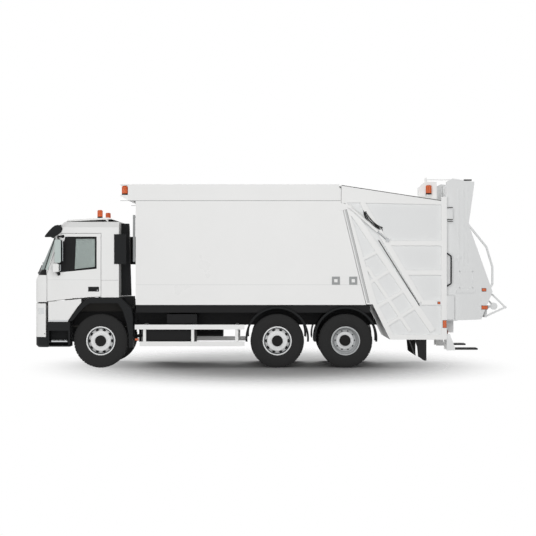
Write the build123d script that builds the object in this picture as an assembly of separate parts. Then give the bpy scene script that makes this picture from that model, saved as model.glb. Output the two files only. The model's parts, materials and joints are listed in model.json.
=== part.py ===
from build123d import *
import os
from math import cos, degrees, pi, sin, sqrt

# Rear-loader garbage truck, three axles. Millimetres, +X forward, +Y left, +Z up.
# The origin is on the ground under the middle of the outer box.

# Driving sizes of the whole vehicle
overall_length = 9563.0
front_overhang = 1365.0
rear_overhang = 3286.0
tandem_spacing = 1370.0
body_front_setback = 2069.0
body_half_width = 1200.0
cab_half_width = 1245.0

# Wheels and tyres
tyre_radius = 538.0
tyre_width = 315.0
rim_radius = 286.0
twin_spacing = 345.0
front_track_half = 1040.0
pusher_track_half = 1040.0
drive_track_half = 880.0

# Heights of the main levels
frame_top_z = 1104.0
frame_depth = 270.0
body_floor_z = 1260.0
body_roof_z = 3678.0
cab_sill_z = 1320.0
cab_roof_z = 2928.0

# Clearances
shut_gap = 8.0
run_gap = 5.0
seat_gap = 0.3
pin_gap = 0.05
overrun = 50.0

front_x = overall_length / 2
rear_x = -overall_length / 2
body_front_x = front_x - body_front_setback
front_axle_x = front_x - front_overhang
drive_axle_x = rear_x + rear_overhang
pusher_axle_x = drive_axle_x + tandem_spacing
axle_z = tyre_radius

nodes = {}


def block(x0, x1, y0, y1, z0, z1):
    """Solid box from its low and high corners."""
    middle = Pos((x0 + x1) / 2, (y0 + y1) / 2, (z0 + z1) / 2)
    return middle * Box(x1 - x0, y1 - y0, z1 - z0)


def side_plate(points, y0, y1):
    """Outline of (x, z) points in the side view, given thickness from y0 to y1."""
    outline = Polyline(*[(x, y0, z) for x, z in points], close=True)
    return extrude(make_face(outline), amount=y1 - y0, dir=(0, 1, 0))


def rod(start, end, radius):
    """Round bar between two points."""
    axis = Vector(*end) - Vector(*start)
    return extrude(Plane(origin=start, z_dir=axis) * Circle(radius), amount=axis.length)


def bent_tube(points, radius, bend):
    """Round bar along a bent path, with the same bend radius at each corner."""
    path = FilletPolyline(*points, radius=bend)
    start = Plane(origin=path @ 0, z_dir=path % 0)
    return sweep(start * Circle(radius), path=path)


def mirrored(shape):
    """The same piece on the right-hand side."""
    return mirror(shape, about=Plane.XZ)


def pair(shape):
    """A left-hand piece with its right-hand twin."""
    return shape + mirrored(shape)


def joined(shapes):
    """One shape out of a list of pieces."""
    whole = shapes[0]
    for shape in shapes[1:]:
        whole = whole + shape
    return whole


def cut_into_plates(whole, zones):
    """The same piece as plates that touch each other, one for each zone that it fills."""
    return Compound([solid for zone in zones for solid in (whole & zone).solids()])


def along(start, end, share):
    """Point at a share of the way between two (x, z) points."""
    return (start[0] + (end[0] - start[0]) * share, start[1] + (end[1] - start[1]) * share)


def bar_between(start, end, width, y0, y1):
    """Flat bar in the side view between two (x, z) points."""
    dx, dz = end[0] - start[0], end[1] - start[1]
    length = sqrt(dx * dx + dz * dz)
    nx, nz = -dz / length * width / 2, dx / length * width / 2
    corners = [(start[0] + nx, start[1] + nz), (end[0] + nx, end[1] + nz),
               (end[0] - nx, end[1] - nz), (start[0] - nx, start[1] - nz)]
    return side_plate(corners, y0, y1)


# Chassis frame: two channel rails with cross members
rail_outer_y = 425.0
rail_flange = 85.0
rail_wall = 9.0
rail_front_setback = 420.0
rail_front_x = front_x - rail_front_setback
rail_rear_top_setback = 560.0
rail_rear_top_x = drive_axle_x - rail_rear_top_setback
rail_rear_low_setback = 690.0
rail_rear_low_x = drive_axle_x - rail_rear_low_setback
frame_low_z = frame_top_z - frame_depth
cross_radius = 70.0


def make_chassis_frame():
    web = side_plate([(rail_front_x, frame_top_z), (rail_rear_top_x, frame_top_z),
                      (rail_rear_low_x, frame_low_z), (rail_front_x, frame_low_z)],
                     rail_outer_y - rail_flange, rail_outer_y)
    hollow = block(rail_rear_low_x - overrun, rail_front_x + overrun,
                   rail_outer_y - rail_flange - overrun, rail_outer_y - rail_wall,
                   frame_low_z + rail_wall, frame_top_z - rail_wall)
    rails = pair(web - hollow)
    inner_y = rail_outer_y - rail_wall
    middle_z = (frame_top_z + frame_low_z) / 2
    cross_places = [
        rail_front_x - cross_radius * 2,
        front_axle_x - axle_z,
        (front_axle_x + pusher_axle_x) / 2,
        (pusher_axle_x + drive_axle_x) / 2 + cross_radius,
        rail_rear_low_x + cross_radius * 3,
    ]
    pieces = [rails]
    for x in cross_places:
        pieces.append(rod((x, -inner_y, middle_z), (x, inner_y, middle_z), cross_radius))
    return joined(pieces)


nodes["chassis_frame"] = make_chassis_frame()

# Subframe: the black rails and bearers between the chassis and the body
subframe_height = body_floor_z - frame_top_z
subframe_front_x = body_front_x
subframe_rear_setback = 500.0
subframe_rear_x = drive_axle_x - subframe_rear_setback
subframe_rail_width = 80.0
bearer_width = 90.0
bearer_count = 6
bearer_reach_inset = 60.0
bearer_reach_y = body_half_width - bearer_reach_inset
skirt_depth = 30.0


def make_subframe():
    rail_low_z = frame_top_z
    rail = block(subframe_rear_x, subframe_front_x, rail_outer_y - subframe_rail_width,
                 rail_outer_y, rail_low_z, body_floor_z)
    pieces = [pair(rail)]
    bearer_low_z = body_floor_z - subframe_height * 0.6
    pitch = (subframe_front_x - subframe_rear_x - bearer_width) / (bearer_count - 1)
    for index in range(bearer_count):
        x = subframe_rear_x + index * pitch
        pieces.append(block(x, x + bearer_width, -bearer_reach_y, bearer_reach_y,
                            bearer_low_z, body_floor_z))
    edge = block(subframe_rear_x, subframe_front_x, bearer_reach_y - skirt_depth,
                 bearer_reach_y, frame_top_z, body_floor_z)
    pieces.append(pair(edge))
    return joined(pieces)


nodes["subframe"] = make_subframe()

# Engine and gearbox: one plain block between the rails
engine_length = 1100.0
engine_low_z = 780.0
engine_high_z = 1290.0
engine_rear_setback = 430.0
engine_rear_x = front_axle_x - engine_rear_setback


def make_engine():
    half = rail_outer_y - rail_flange
    return block(engine_rear_x, engine_rear_x + engine_length, -half, half,
                 engine_low_z, engine_high_z)


nodes["engine"] = make_engine()

# Front axle: forged beam with kingpins, leaf springs and hangers
kingpin_y = 900.0
kingpin_radius = 26.0
kingpin_reach = 130.0
beam_height = 110.0
beam_width = 100.0
beam_drop = 110.0
eye_radius = 60.0
eye_half_height = 62.0
fork_thickness = 45.0
fork_radius = 62.0
spring_y = 385.0
spring_width = 80.0
spring_half_length = 800.0
spring_leaf = 24.0
spring_rise = 110.0


def make_front_axle():
    low_z = axle_z - beam_drop
    ramp_y = spring_y + spring_width * 1.4
    flat_y = kingpin_y - fork_radius * 1.6
    upper = [(kingpin_y, axle_z + beam_height / 2), (flat_y, axle_z + beam_height / 2),
             (ramp_y, low_z + beam_height / 2)]
    lower = [(kingpin_y, axle_z - beam_height / 2), (flat_y, axle_z - beam_height / 2),
             (ramp_y, low_z - beam_height / 2)]
    profile = upper + [(-y, z) for y, z in reversed(upper)]
    profile += [(-y, z) for y, z in lower] + list(reversed(lower))
    face = make_face(Polyline(*[(front_axle_x - beam_width / 2, y, z) for y, z in profile],
                              close=True))
    beam = extrude(face, amount=beam_width, dir=(1, 0, 0))
    pieces = [beam]
    for side in (1, -1):
        y = side * kingpin_y
        pieces.append(rod((front_axle_x, y, axle_z - eye_half_height),
                          (front_axle_x, y, axle_z + eye_half_height), eye_radius))
        pieces.append(rod((front_axle_x, y, axle_z - kingpin_reach),
                          (front_axle_x, y, axle_z + kingpin_reach), kingpin_radius))
    return joined(pieces)


def make_front_springs():
    pieces = []
    seat_z = axle_z - beam_drop + beam_height / 2
    half = spring_half_length
    for side in (1, -1):
        y0 = side * spring_y - spring_width / 2
        y1 = side * spring_y + spring_width / 2
        leaf = [(-half, spring_rise), (-half / 2, spring_rise / 4), (0, 0),
                (half / 2, spring_rise / 4), (half, spring_rise)]
        top = [(front_axle_x + x, seat_z + z + spring_leaf * 2) for x, z in leaf]
        low = [(front_axle_x + x, seat_z + z) for x, z in reversed(leaf)]
        pieces.append(side_plate(top + low, y0, y1))
        for end in (-1, 1):
            x = front_axle_x + end * half
            z = seat_z + spring_rise + spring_leaf
            pieces.append(block(x - spring_width / 2, x + spring_width / 2, y0, y1,
                                z - spring_leaf, frame_low_z))
    return joined(pieces)


nodes["front_axle"] = make_front_axle() + make_front_springs()

# Steering knuckles: fork round the beam's eye, stub axle and brake drum
stub_radius = 45.0
stub_reach = 95.0
brake_width = 130.0


def make_knuckle():
    pieces = []
    for side in (1, -1):
        z0 = axle_z + side * (eye_half_height + seat_gap)
        z1 = z0 + side * fork_thickness
        pieces.append(rod((front_axle_x, kingpin_y, z0), (front_axle_x, kingpin_y, z1),
                          fork_radius))
        pieces.append(block(front_axle_x - fork_radius / 2, front_axle_x + fork_radius / 2,
                            kingpin_y, kingpin_y + fork_radius + fork_thickness,
                            min(z0, z1), max(z0, z1)))
    back_y = kingpin_y + fork_radius + run_gap
    high = eye_half_height + seat_gap + fork_thickness
    pieces.append(block(front_axle_x - fork_radius, front_axle_x + fork_radius, back_y,
                        back_y + fork_thickness, axle_z - high, axle_z + high))
    hub_end_y = front_track_half + stub_reach
    pieces.append(rod((front_axle_x, back_y, axle_z), (front_axle_x, hub_end_y, axle_z),
                      stub_radius))
    whole = joined(pieces)
    bore = rod((front_axle_x, kingpin_y, axle_z - kingpin_reach - overrun),
               (front_axle_x, kingpin_y, axle_z + kingpin_reach + overrun),
               kingpin_radius + pin_gap)
    return whole - bore


nodes["knuckle_left"] = make_knuckle()
nodes["knuckle_right"] = mirrored(nodes["knuckle_left"])

# Rear axles: pusher tube, drive housing with its round final drive, air bags and arms
axle_tube_radius = 62.0
housing_half = 75.0
final_drive_radius = 210.0
final_drive_half = 110.0
air_bag_radius = 125.0
air_bag_offset = 300.0
arm_height = 60.0


def make_rear_axles():
    pieces = []
    for x, track, drive in ((pusher_axle_x, pusher_track_half, False),
                            (drive_axle_x, drive_track_half, True)):
        shoulder_y = track - (twin_spacing / 2 + brake_width if drive else brake_width)
        reach_y = track + stub_reach
        if drive:
            pieces.append(block(x - housing_half, x + housing_half, -shoulder_y, shoulder_y,
                                axle_z - housing_half, axle_z + housing_half))
            pieces.append(rod((x, -final_drive_half, axle_z), (x, final_drive_half, axle_z),
                              final_drive_radius))
        else:
            pieces.append(rod((x, -shoulder_y, axle_z), (x, shoulder_y, axle_z),
                              axle_tube_radius))
        pieces.append(rod((x, -reach_y, axle_z), (x, reach_y, axle_z), stub_radius))
        for side in (1, -1):
            y0 = side * spring_y - spring_width / 2
            y1 = side * spring_y + spring_width / 2
            arm_top = axle_z + axle_tube_radius + arm_height
            pieces.append(block(x - air_bag_offset - air_bag_radius, x + air_bag_offset, y0, y1,
                                axle_z + axle_tube_radius - arm_height / 2, arm_top))
            pieces.append(block(x + air_bag_offset - arm_height, x + air_bag_offset, y0, y1,
                                arm_top - arm_height / 2, frame_low_z))
            pieces.append(rod((x - air_bag_offset, side * spring_y, arm_top - arm_height / 2),
                              (x - air_bag_offset, side * spring_y, frame_low_z),
                              spring_width))
    return joined(pieces)


nodes["rear_axles"] = make_rear_axles()


# Wheels: tyres and rims are made of flats, so that all of them stay light
wheel_flats = 36
tyre_height = tyre_radius - rim_radius
flange_height = 14.0
flange_width = 8.0
barrel_wall = 20.0
disc_thickness = 16.0
hub_radius = 110.0
hub_back = 60.0
steer_hub_back = 20.0
hub_front = 155.0
hub_cap = 40.0
hand_hole_count = 10
outset_hole_size = 44.0
inset_hole_size = 26.0
outset_hole_radius = 226.0
inset_hole_radius = 195.0
# Tyre section: share of the half width, share of the tyre's height above the rim
tyre_section_shares = ((0.72, 0.065), (0.98, 0.32), (0.95, 0.78), (0.78, 1.0))


def flats(y, radius):
    """Many-sided outline across the axle, with a flat at the bottom."""
    plane = Plane(origin=(0, y, 0), x_dir=(1, 0, 0), z_dir=(0, 1, 0))
    vertex_radius = radius / cos(pi / wheel_flats)
    return plane * RegularPolygon(vertex_radius, wheel_flats, rotation=180 / wheel_flats)


def flats_prism(y0, y1, radius):
    return extrude(flats(y0, radius), amount=y1 - y0, dir=(0, 1, 0))


def flats_cone(y0, radius0, y1, radius1):
    return loft([flats(y0, radius0), flats(y1, radius1)], ruled=True)


def make_tyre():
    half = tyre_width / 2
    outer = [(-half * w, rim_radius + tyre_height * h) for w, h in tyre_section_shares]
    outer += [(half * w, rim_radius + tyre_height * h)
              for w, h in reversed(tyre_section_shares)]
    whole = loft([flats(y, radius) for y, radius in outer], ruled=True)
    return whole - flats_prism(-tyre_width, tyre_width, rim_radius + seat_gap)


def make_barrel():
    seat_half = tyre_width / 2 * tyre_section_shares[0][0] + seat_gap
    edge = seat_half + flange_width
    barrel = flats_prism(-edge, edge, rim_radius)
    for side in (1, -1):
        y0, y1 = sorted((side * seat_half, side * edge))
        barrel = barrel + flats_prism(y0, y1, rim_radius + flange_height)
    return barrel - flats_prism(-edge - overrun, edge + overrun, rim_radius - barrel_wall)


def hand_holes(radius, size, y0, y1):
    holes = []
    for index in range(hand_hole_count):
        hole = block(radius - size / 2, radius + size / 2, y0, y1, -size / 2, size / 2)
        holes.append(Rot(0, index * 360 / hand_hole_count, 0) * hole)
    return holes


def make_outset_rim():
    """Single wheel: the disc bulges outwards past the rim's edge."""
    inner_radius = rim_radius - barrel_wall + seat_gap
    root_y = tyre_width * 0.2
    face_y = tyre_width * 0.38
    face_radius = rim_radius * 0.68
    dish = flats_cone(root_y, inner_radius, face_y, face_radius)
    dish = dish - flats_cone(root_y - disc_thickness, inner_radius,
                             face_y - disc_thickness, face_radius)
    for hole in hand_holes(outset_hole_radius, outset_hole_size, 0, tyre_width):
        dish = dish - hole
    hub = rod((0, -steer_hub_back, 0), (0, hub_front, 0), hub_radius)
    bore = rod((0, -hub_back - overrun, 0), (0, hub_front - hub_cap, 0),
               stub_radius + pin_gap)
    return make_barrel() + dish + hub - bore


def make_twin_rims():
    """Twin wheels: two dished discs meet on the hub's flange."""
    inner_radius = rim_radius - barrel_wall + seat_gap
    rim_root = tyre_width * 0.2
    flat_radius = rim_radius * 0.76
    whole = rod((0, -hub_back, 0), (0, hub_front, 0), hub_radius)
    for side in (1, -1):
        whole = whole + Pos(0, side * twin_spacing / 2, 0) * make_barrel()
        dish = flats_cone(side * rim_root, inner_radius, side * disc_thickness, flat_radius)
        dish = dish - flats_cone(side * (rim_root + disc_thickness), inner_radius,
                                 side * disc_thickness * 2, flat_radius)
        for hole in hand_holes(inset_hole_radius, inset_hole_size, -tyre_width, tyre_width):
            dish = dish - hole
        whole = whole + dish
    bore = rod((0, -hub_back - overrun, 0), (0, hub_front - hub_cap, 0),
               stub_radius + pin_gap)
    return whole - bore


def place_wheels():
    tyre = make_tyre()
    single = make_outset_rim()
    twin = make_twin_rims()
    for name, x, track in (("front", front_axle_x, front_track_half),
                           ("pusher", pusher_axle_x, pusher_track_half)):
        place = Pos(x, track, axle_z)
        nodes["tyre_" + name + "_left"] = place * tyre
        nodes["rim_" + name + "_left"] = place * single
    place = Pos(drive_axle_x, drive_track_half, axle_z)
    both = Pos(0, twin_spacing / 2, 0) * tyre + Pos(0, -twin_spacing / 2, 0) * tyre
    nodes["tyre_drive_left"] = place * both
    nodes["rim_drive_left"] = place * twin
    for name in ("front", "pusher", "drive"):
        for piece in ("tyre_", "rim_"):
            nodes[piece + name + "_right"] = mirrored(nodes[piece + name + "_left"])


place_wheels()


# Cab shell: a loft through plan sections, hollow, with the doors and the windscreen cut out
cab_length = 1736.0
cab_rear_x = front_x - cab_length
cab_height = cab_roof_z - cab_sill_z
cab_wall = 55.0
cab_floor_thickness = 70.0
arch_top_z = 1412.0
arch_front_lead = 358.0
arch_front_x = front_axle_x + arch_front_lead
# Share of the cab's height, of its length behind the bumper line, of its half width,
# then the bow of the front and the corner radius as shares of the half width
cab_section_shares = (
    (0.000, 0.000, 1.000, 0.065, 0.115),
    (0.276, 0.000, 1.000, 0.065, 0.115),
    (0.357, 0.032, 1.000, 0.070, 0.115),
    (0.800, 0.200, 0.992, 0.080, 0.115),
    (0.930, 0.250, 0.976, 0.080, 0.115),
    (1.000, 0.315, 0.900, 0.070, 0.140),
)


def cab_section(z, setback, half_share, bow_share, corner_share, inset):
    nose_x = front_x - cab_length * setback - inset
    half = cab_half_width * half_share - inset
    side_x = nose_x - cab_half_width * bow_share
    back_x = cab_rear_x + inset
    face = make_face([
        Line((back_x, half, z), (back_x, -half, z)),
        Line((back_x, -half, z), (side_x, -half, z)),
        ThreePointArc((side_x, -half, z), (nose_x, 0, z), (side_x, half, z)),
        Line((side_x, half, z), (back_x, half, z)),
    ])
    corners = face.vertices().group_by(Axis.X)[-1]
    return fillet(corners, cab_half_width * corner_share - inset)


def cab_hull(inset, floor_z):
    """Closed form of the cab, drawn in by an inset, from a floor level up."""
    faces = []
    for height, setback, half_share, bow_share, corner_share in cab_section_shares:
        z = cab_sill_z + cab_height * height
        if height == 0:
            z = floor_z
        if height == 1:
            z = cab_roof_z - inset
        faces.append(cab_section(z, setback, half_share, bow_share, corner_share, inset))
    return loft(faces, ruled=True)


# Door outline in the side view
door_front_setback = 300.5
door_front_x = front_x - door_front_setback
door_rear_lead = 361.0
door_rear_x = cab_rear_x + door_rear_lead
door_belt_z = 1894.0
door_top_z = 2690.0
door_top_front_setback = 590.0
door_top_front_x = front_x - door_top_front_setback
door_sill_front_rise = 14.0
door_sill_front_z = cab_sill_z + door_sill_front_rise
door_sill_arch_rise = 2.0
door_sill_arch_z = arch_top_z + door_sill_arch_rise
door_sill_rear_rise = 18.0
door_sill_rear_z = arch_top_z + door_sill_rear_rise
# Window opening in the door
glass_low_front_inset = 190.0
glass_low_front_rise = 32.0
glass_top_front_inset = 95.0
glass_top_drop = 80.0
glass_rear_inset = 98.0
glass_low_rear_rise = 105.0
glass_low_front = (door_front_x - glass_low_front_inset, door_belt_z + glass_low_front_rise)
glass_top_front = (door_top_front_x - glass_top_front_inset, door_top_z - glass_top_drop)
glass_top_rear = (door_rear_x + glass_rear_inset, door_top_z - glass_top_drop)
glass_low_rear = (door_rear_x + glass_rear_inset, door_belt_z + glass_low_rear_rise)
glass_inset = 20.0
glass_thickness = 6.0
# Windscreen opening
screen_low_z = 1935.0
screen_top_z = 2700.0
screen_half_width = 1075.0


door_upper_outline = [(door_front_x, door_belt_z), (door_top_front_x, door_top_z),
                      (door_rear_x, door_top_z)]
door_outline = [(door_front_x, door_sill_front_z), *door_upper_outline,
                (door_rear_x, door_sill_rear_z), (arch_front_x, door_sill_arch_z)]


def doorway_outline():
    """The door's outline with its shut gap, and open below."""
    front, top_front, top_rear = door_upper_outline
    low_z = cab_sill_z - overrun
    return [(front[0] + shut_gap, low_z), (front[0] + shut_gap, front[1]),
            (top_front[0] + shut_gap, top_front[1] + shut_gap),
            (top_rear[0] - shut_gap, top_rear[1] + shut_gap), (top_rear[0] - shut_gap, low_z)]


def door_sill_level(x):
    """Level of the straight line between the ends of the door's lower edge."""
    share = (door_front_x - x) / (door_front_x - door_rear_x)
    return door_sill_front_z + (door_sill_rear_z - door_sill_front_z) * share


def cab_shell_solid():
    outer = cab_hull(0, cab_sill_z)
    inner = cab_hull(cab_wall, arch_top_z + cab_floor_thickness)
    under = side_plate([(door_front_x, cab_sill_z), (arch_front_x, arch_top_z),
                        (cab_rear_x - overrun, arch_top_z),
                        (cab_rear_x - overrun, cab_sill_z - overrun),
                        (door_front_x, cab_sill_z - overrun)],
                       -cab_half_width - overrun, cab_half_width + overrun)
    return outer - inner - under


def screen_cutter():
    return block(front_x - cab_length / 2, front_x + overrun, -screen_half_width,
                 screen_half_width, screen_low_z, screen_top_z)


# Lower front panel of the cab, which reaches down between the bumper's corners
grille_half_width = 785.0
grille_low_z = 850.0
grille_thickness = 35.0
grille_slot_count = 5
grille_slot_height = 34.0
hinge_setback = 141.5
hinge_x = front_x - hinge_setback
hinge_z = 720.0
hinge_arm_width = 60.0
hinge_arm_y = 380.0
hinge_pin_radius = 25.0


def front_panel(low_z, high_z, thickness, inset):
    """Curved strip of the cab's front between two levels."""
    shares = cab_section_shares[0][1:]
    outer = extrude(cab_section(low_z, *shares, inset), amount=high_z - low_z,
                    dir=(0, 0, 1))
    inner = extrude(cab_section(low_z - overrun, *shares, inset + thickness),
                    amount=high_z - low_z + 2 * overrun, dir=(0, 0, 1))
    return outer - inner


def make_cab_shell():
    shell = cab_shell_solid() - screen_cutter()
    for side in (1, -1):
        y0, y1 = sorted((side * (cab_half_width - cab_wall * 3), side * (cab_half_width + overrun)))
        shell = shell - side_plate(doorway_outline(), y0, y1)
    panel = front_panel(grille_low_z, cab_sill_z, grille_thickness, 0)
    panel = panel & block(hinge_x, front_x + overrun, -grille_half_width, grille_half_width,
                          grille_low_z, cab_sill_z)
    pitch = (cab_sill_z - grille_low_z) / (grille_slot_count + 1)
    for index in range(grille_slot_count):
        z = grille_low_z + pitch * (index + 1)
        panel = panel - block(hinge_x, front_x + overrun, -grille_half_width * 0.8,
                              grille_half_width * 0.8, z - grille_slot_height / 2,
                              z + grille_slot_height / 2)
    shell = shell + panel
    for side in (1, -1):
        y0 = side * hinge_arm_y - hinge_arm_width / 2
        y1 = side * hinge_arm_y + hinge_arm_width / 2
        arm = block(hinge_x - hinge_arm_width, hinge_x + hinge_arm_width / 3, y0, y1,
                    hinge_z, cab_sill_z)
        arm = arm + rod((hinge_x, y0, hinge_z), (hinge_x, y1, hinge_z), hinge_arm_width)
        shell = shell + arm
        shell = shell - rod((hinge_x, y0 - overrun, hinge_z), (hinge_x, y1 + overrun, hinge_z),
                            hinge_pin_radius + pin_gap)
    return shell


nodes["cab_shell"] = make_cab_shell()


def make_windscreen():
    skin = cab_hull(glass_inset, cab_sill_z + glass_inset)
    skin = skin - cab_hull(glass_inset + glass_thickness, cab_sill_z)
    return skin & screen_cutter()


nodes["windscreen"] = make_windscreen()


def glass_cutter(side):
    y0, y1 = sorted((side * (cab_half_width - cab_wall * 3), side * (cab_half_width + overrun)))
    return side_plate([glass_low_front, glass_top_front, glass_top_rear, glass_low_rear], y0, y1)


def make_doors():
    skin = cab_hull(glass_inset, cab_sill_z + glass_inset)
    skin = skin - cab_hull(glass_inset + glass_thickness, cab_sill_z)
    shell = cab_shell_solid()
    door = shell & side_plate(door_outline, cab_half_width - cab_wall * 2.4,
                              cab_half_width + overrun)
    nodes["door_left"] = door - glass_cutter(1)
    nodes["door_glass_left"] = skin & glass_cutter(1)
    nodes["door_right"] = mirrored(nodes["door_left"])
    nodes["door_glass_right"] = mirrored(nodes["door_glass_left"])


make_doors()


def cab_side_y(z):
    """Half width of the cab's outside at a level above its belt."""
    share = (z - cab_sill_z) / cab_height
    for low, high in zip(cab_section_shares, cab_section_shares[1:]):
        if share <= high[0]:
            step = (share - low[0]) / (high[0] - low[0])
            return cab_half_width * (low[2] + (high[2] - low[2]) * step)
    return cab_half_width * cab_section_shares[-1][2]


# Cab interior: dashboard with its steering wheel, and two seats
dash_low_z = 1500.0
dash_top_z = 1960.0
dash_rear_setback = 560.0
dash_rear_x = front_x - dash_rear_setback
dash_half_width = cab_half_width - cab_wall * 2
seat_lead = 300.0
seat_x = cab_rear_x + seat_lead
seat_y = 620.0
seat_width = 500.0
seat_depth = 500.0
seat_thickness = 140.0
seat_back_height = 620.0
seat_level_z = 1800.0
wheel_rim_radius = 230.0
wheel_rim_section = 16.0
column_radius = 35.0


def make_dashboard():
    hull = cab_hull(cab_wall + seat_gap, arch_top_z + cab_floor_thickness)
    dash = hull & block(dash_rear_x, front_x, -dash_half_width, dash_half_width,
                        arch_top_z + cab_floor_thickness + seat_gap, dash_top_z)
    knee = block(dash_rear_x - overrun, dash_rear_x + (front_x - dash_rear_x) * 0.45,
                 -dash_half_width - overrun, dash_half_width + overrun, cab_sill_z, dash_low_z)
    dash = dash - knee
    hub = (dash_rear_x - wheel_rim_radius * 0.75, seat_y, dash_top_z + wheel_rim_section)
    foot = (dash_rear_x + overrun, seat_y, dash_top_z - wheel_rim_radius)
    column = rod(hub, foot, column_radius)
    plane = Plane(origin=hub, z_dir=Vector(*foot) - Vector(*hub))
    rim = plane * Torus(wheel_rim_radius, wheel_rim_section)
    spoke = plane * Box(wheel_rim_radius * 2, wheel_rim_section * 2, wheel_rim_section)
    return dash + column + rim + spoke


def make_seats():
    pieces = []
    floor_z = arch_top_z + cab_floor_thickness
    for side in (1, -1):
        y0 = side * seat_y - seat_width / 2
        y1 = side * seat_y + seat_width / 2
        base = block(seat_x + seat_depth * 0.1, seat_x + seat_depth * 0.8, y0 + seat_thickness,
                     y1 - seat_thickness, floor_z, seat_level_z - seat_thickness)
        cushion = block(seat_x, seat_x + seat_depth, y0, y1, seat_level_z - seat_thickness,
                        seat_level_z)
        back = side_plate([(seat_x, seat_level_z - seat_thickness),
                           (seat_x + seat_thickness, seat_level_z - seat_thickness),
                           (seat_x + seat_thickness * 0.4, seat_level_z + seat_back_height),
                           (seat_x - seat_thickness * 0.5, seat_level_z + seat_back_height)],
                          y0, y1)
        pieces.append(base + cushion + back)
    return joined(pieces)


nodes["cab_interior"] = make_dashboard() + make_seats()

# Sun visor: a curved strip with closed ends over the windscreen's top
visor_half_width = 1130.0
visor_thickness = 22.0
visor_bow_radius = 6200.0
visor_end = 26.0
# Side outline of the visor, as shares of its depth forward and of its height down
visor_depth = 350.0
visor_height = 240.0
visor_rear_setback = 600.0
visor_rear_x = front_x - visor_rear_setback
visor_top_z = 2870.0
visor_outline_shares = ((0.02, 0.20), (0.20, 0.02), (0.45, 0.0), (0.62, 0.10), (0.80, 0.50),
                        (1.0, 0.96), (0.98, 1.0), (0.72, 0.86))


def make_visor():
    outer = [(visor_rear_x + visor_depth * a, visor_top_z - visor_height * b)
             for a, b in visor_outline_shares]
    skin_low = [(x - visor_thickness, z - visor_thickness) for x, z in reversed(outer[1:6])]
    skin = make_face(Polyline(*[(x, 0, z) for x, z in outer[1:6] + skin_low], close=True))
    axis = Axis((visor_rear_x + visor_depth - visor_bow_radius, 0, 0), (0, 0, 1))
    sweep_angle = degrees(visor_half_width / visor_bow_radius)
    whole = revolve(skin, axis, sweep_angle * 2).rotate(axis, -sweep_angle)
    end_face = make_face(Polyline(*[(x, 0, z) for x, z in outer], close=True))
    end_angle = degrees(visor_end / visor_bow_radius)
    end = revolve(end_face, axis, end_angle).rotate(axis, sweep_angle - end_angle)
    return whole + end + mirrored(end)


nodes["sun_visor"] = make_visor() - cab_hull(-seat_gap, cab_sill_z)

# Roof bar with two beacons
roof_bar_front_setback = 630.0
roof_bar_front_x = front_x - roof_bar_front_setback
roof_bar_rear_lead = 190.0
roof_bar_rear_x = cab_rear_x + roof_bar_rear_lead
roof_bar_half_width = 850.0
roof_bar_low = 12.0
roof_bar_high = 62.0
roof_bar_thickness = 34.0
beacon_radius = 54.0
beacon_height = 165.0
beacon_foot = 20.0
beacon_y = 775.0
beacon_lead = 428.0
beacon_x = cab_rear_x + beacon_lead


def roof_bar_top(x):
    start = roof_bar_front_x - roof_bar_thickness
    end = roof_bar_rear_x + roof_bar_thickness * 2
    share = min(1, max(0, (start - x) / (start - end)))
    rise = roof_bar_low + (roof_bar_high - roof_bar_low) * share
    return cab_roof_z + rise + roof_bar_thickness


def make_roof_bar():
    profile = [(roof_bar_front_x, cab_roof_z + roof_bar_low),
               (roof_bar_front_x - roof_bar_thickness, roof_bar_top(roof_bar_front_x)),
               (roof_bar_rear_x + roof_bar_thickness * 2, roof_bar_top(roof_bar_rear_x)),
               (roof_bar_rear_x, cab_roof_z + roof_bar_high)]
    plate = side_plate(profile, -roof_bar_half_width, roof_bar_half_width)
    pieces = [plate]
    foot_inset = roof_bar_thickness * 2
    for x in (roof_bar_front_x - foot_inset * 3, roof_bar_rear_x + foot_inset):
        for side in (1, -1):
            y = side * (roof_bar_half_width - foot_inset)
            pieces.append(block(x, x + foot_inset, y - foot_inset / 2, y + foot_inset / 2,
                                cab_roof_z, roof_bar_top(x) - roof_bar_thickness / 2))
    return joined(pieces)


def beacon(x, y, z):
    """Orange lens on a short black foot, standing on a level z."""
    foot = rod((x, y, z), (x, y, z + beacon_foot), beacon_radius * 0.8)
    lens = rod((x, y, z + beacon_foot), (x, y, z + beacon_height), beacon_radius)
    return foot + chamfer(lens.edges().group_by(Axis.Z)[-1], beacon_foot)


nodes["roof_bar"] = make_roof_bar()
beacon_base_z = roof_bar_top(beacon_x - beacon_radius)
nodes["cab_beacons"] = pair(beacon(beacon_x, beacon_y, beacon_base_z + seat_gap))

# Mirrors: main head and wide-angle head on two arms, fixed to the door
mirror_head_low_z = 2104.0
mirror_head_top_z = 2564.0
mirror_small_low_z = 1922.0
mirror_small_top_z = 2084.0
mirror_rear_setback = 613.0
mirror_rear_x = front_x - mirror_rear_setback
mirror_depth = 125.0
mirror_inner_outset = 60.0
mirror_inner_y = cab_half_width + mirror_inner_outset
mirror_head_width = 215.0
mirror_arm_radius = 16.0
mirror_arm_top_z = 2632.0
mirror_arm_low_z = 1880.0
mirror_foot_top_setback = 616.0
mirror_foot_top_x = front_x - mirror_foot_top_setback


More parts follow.
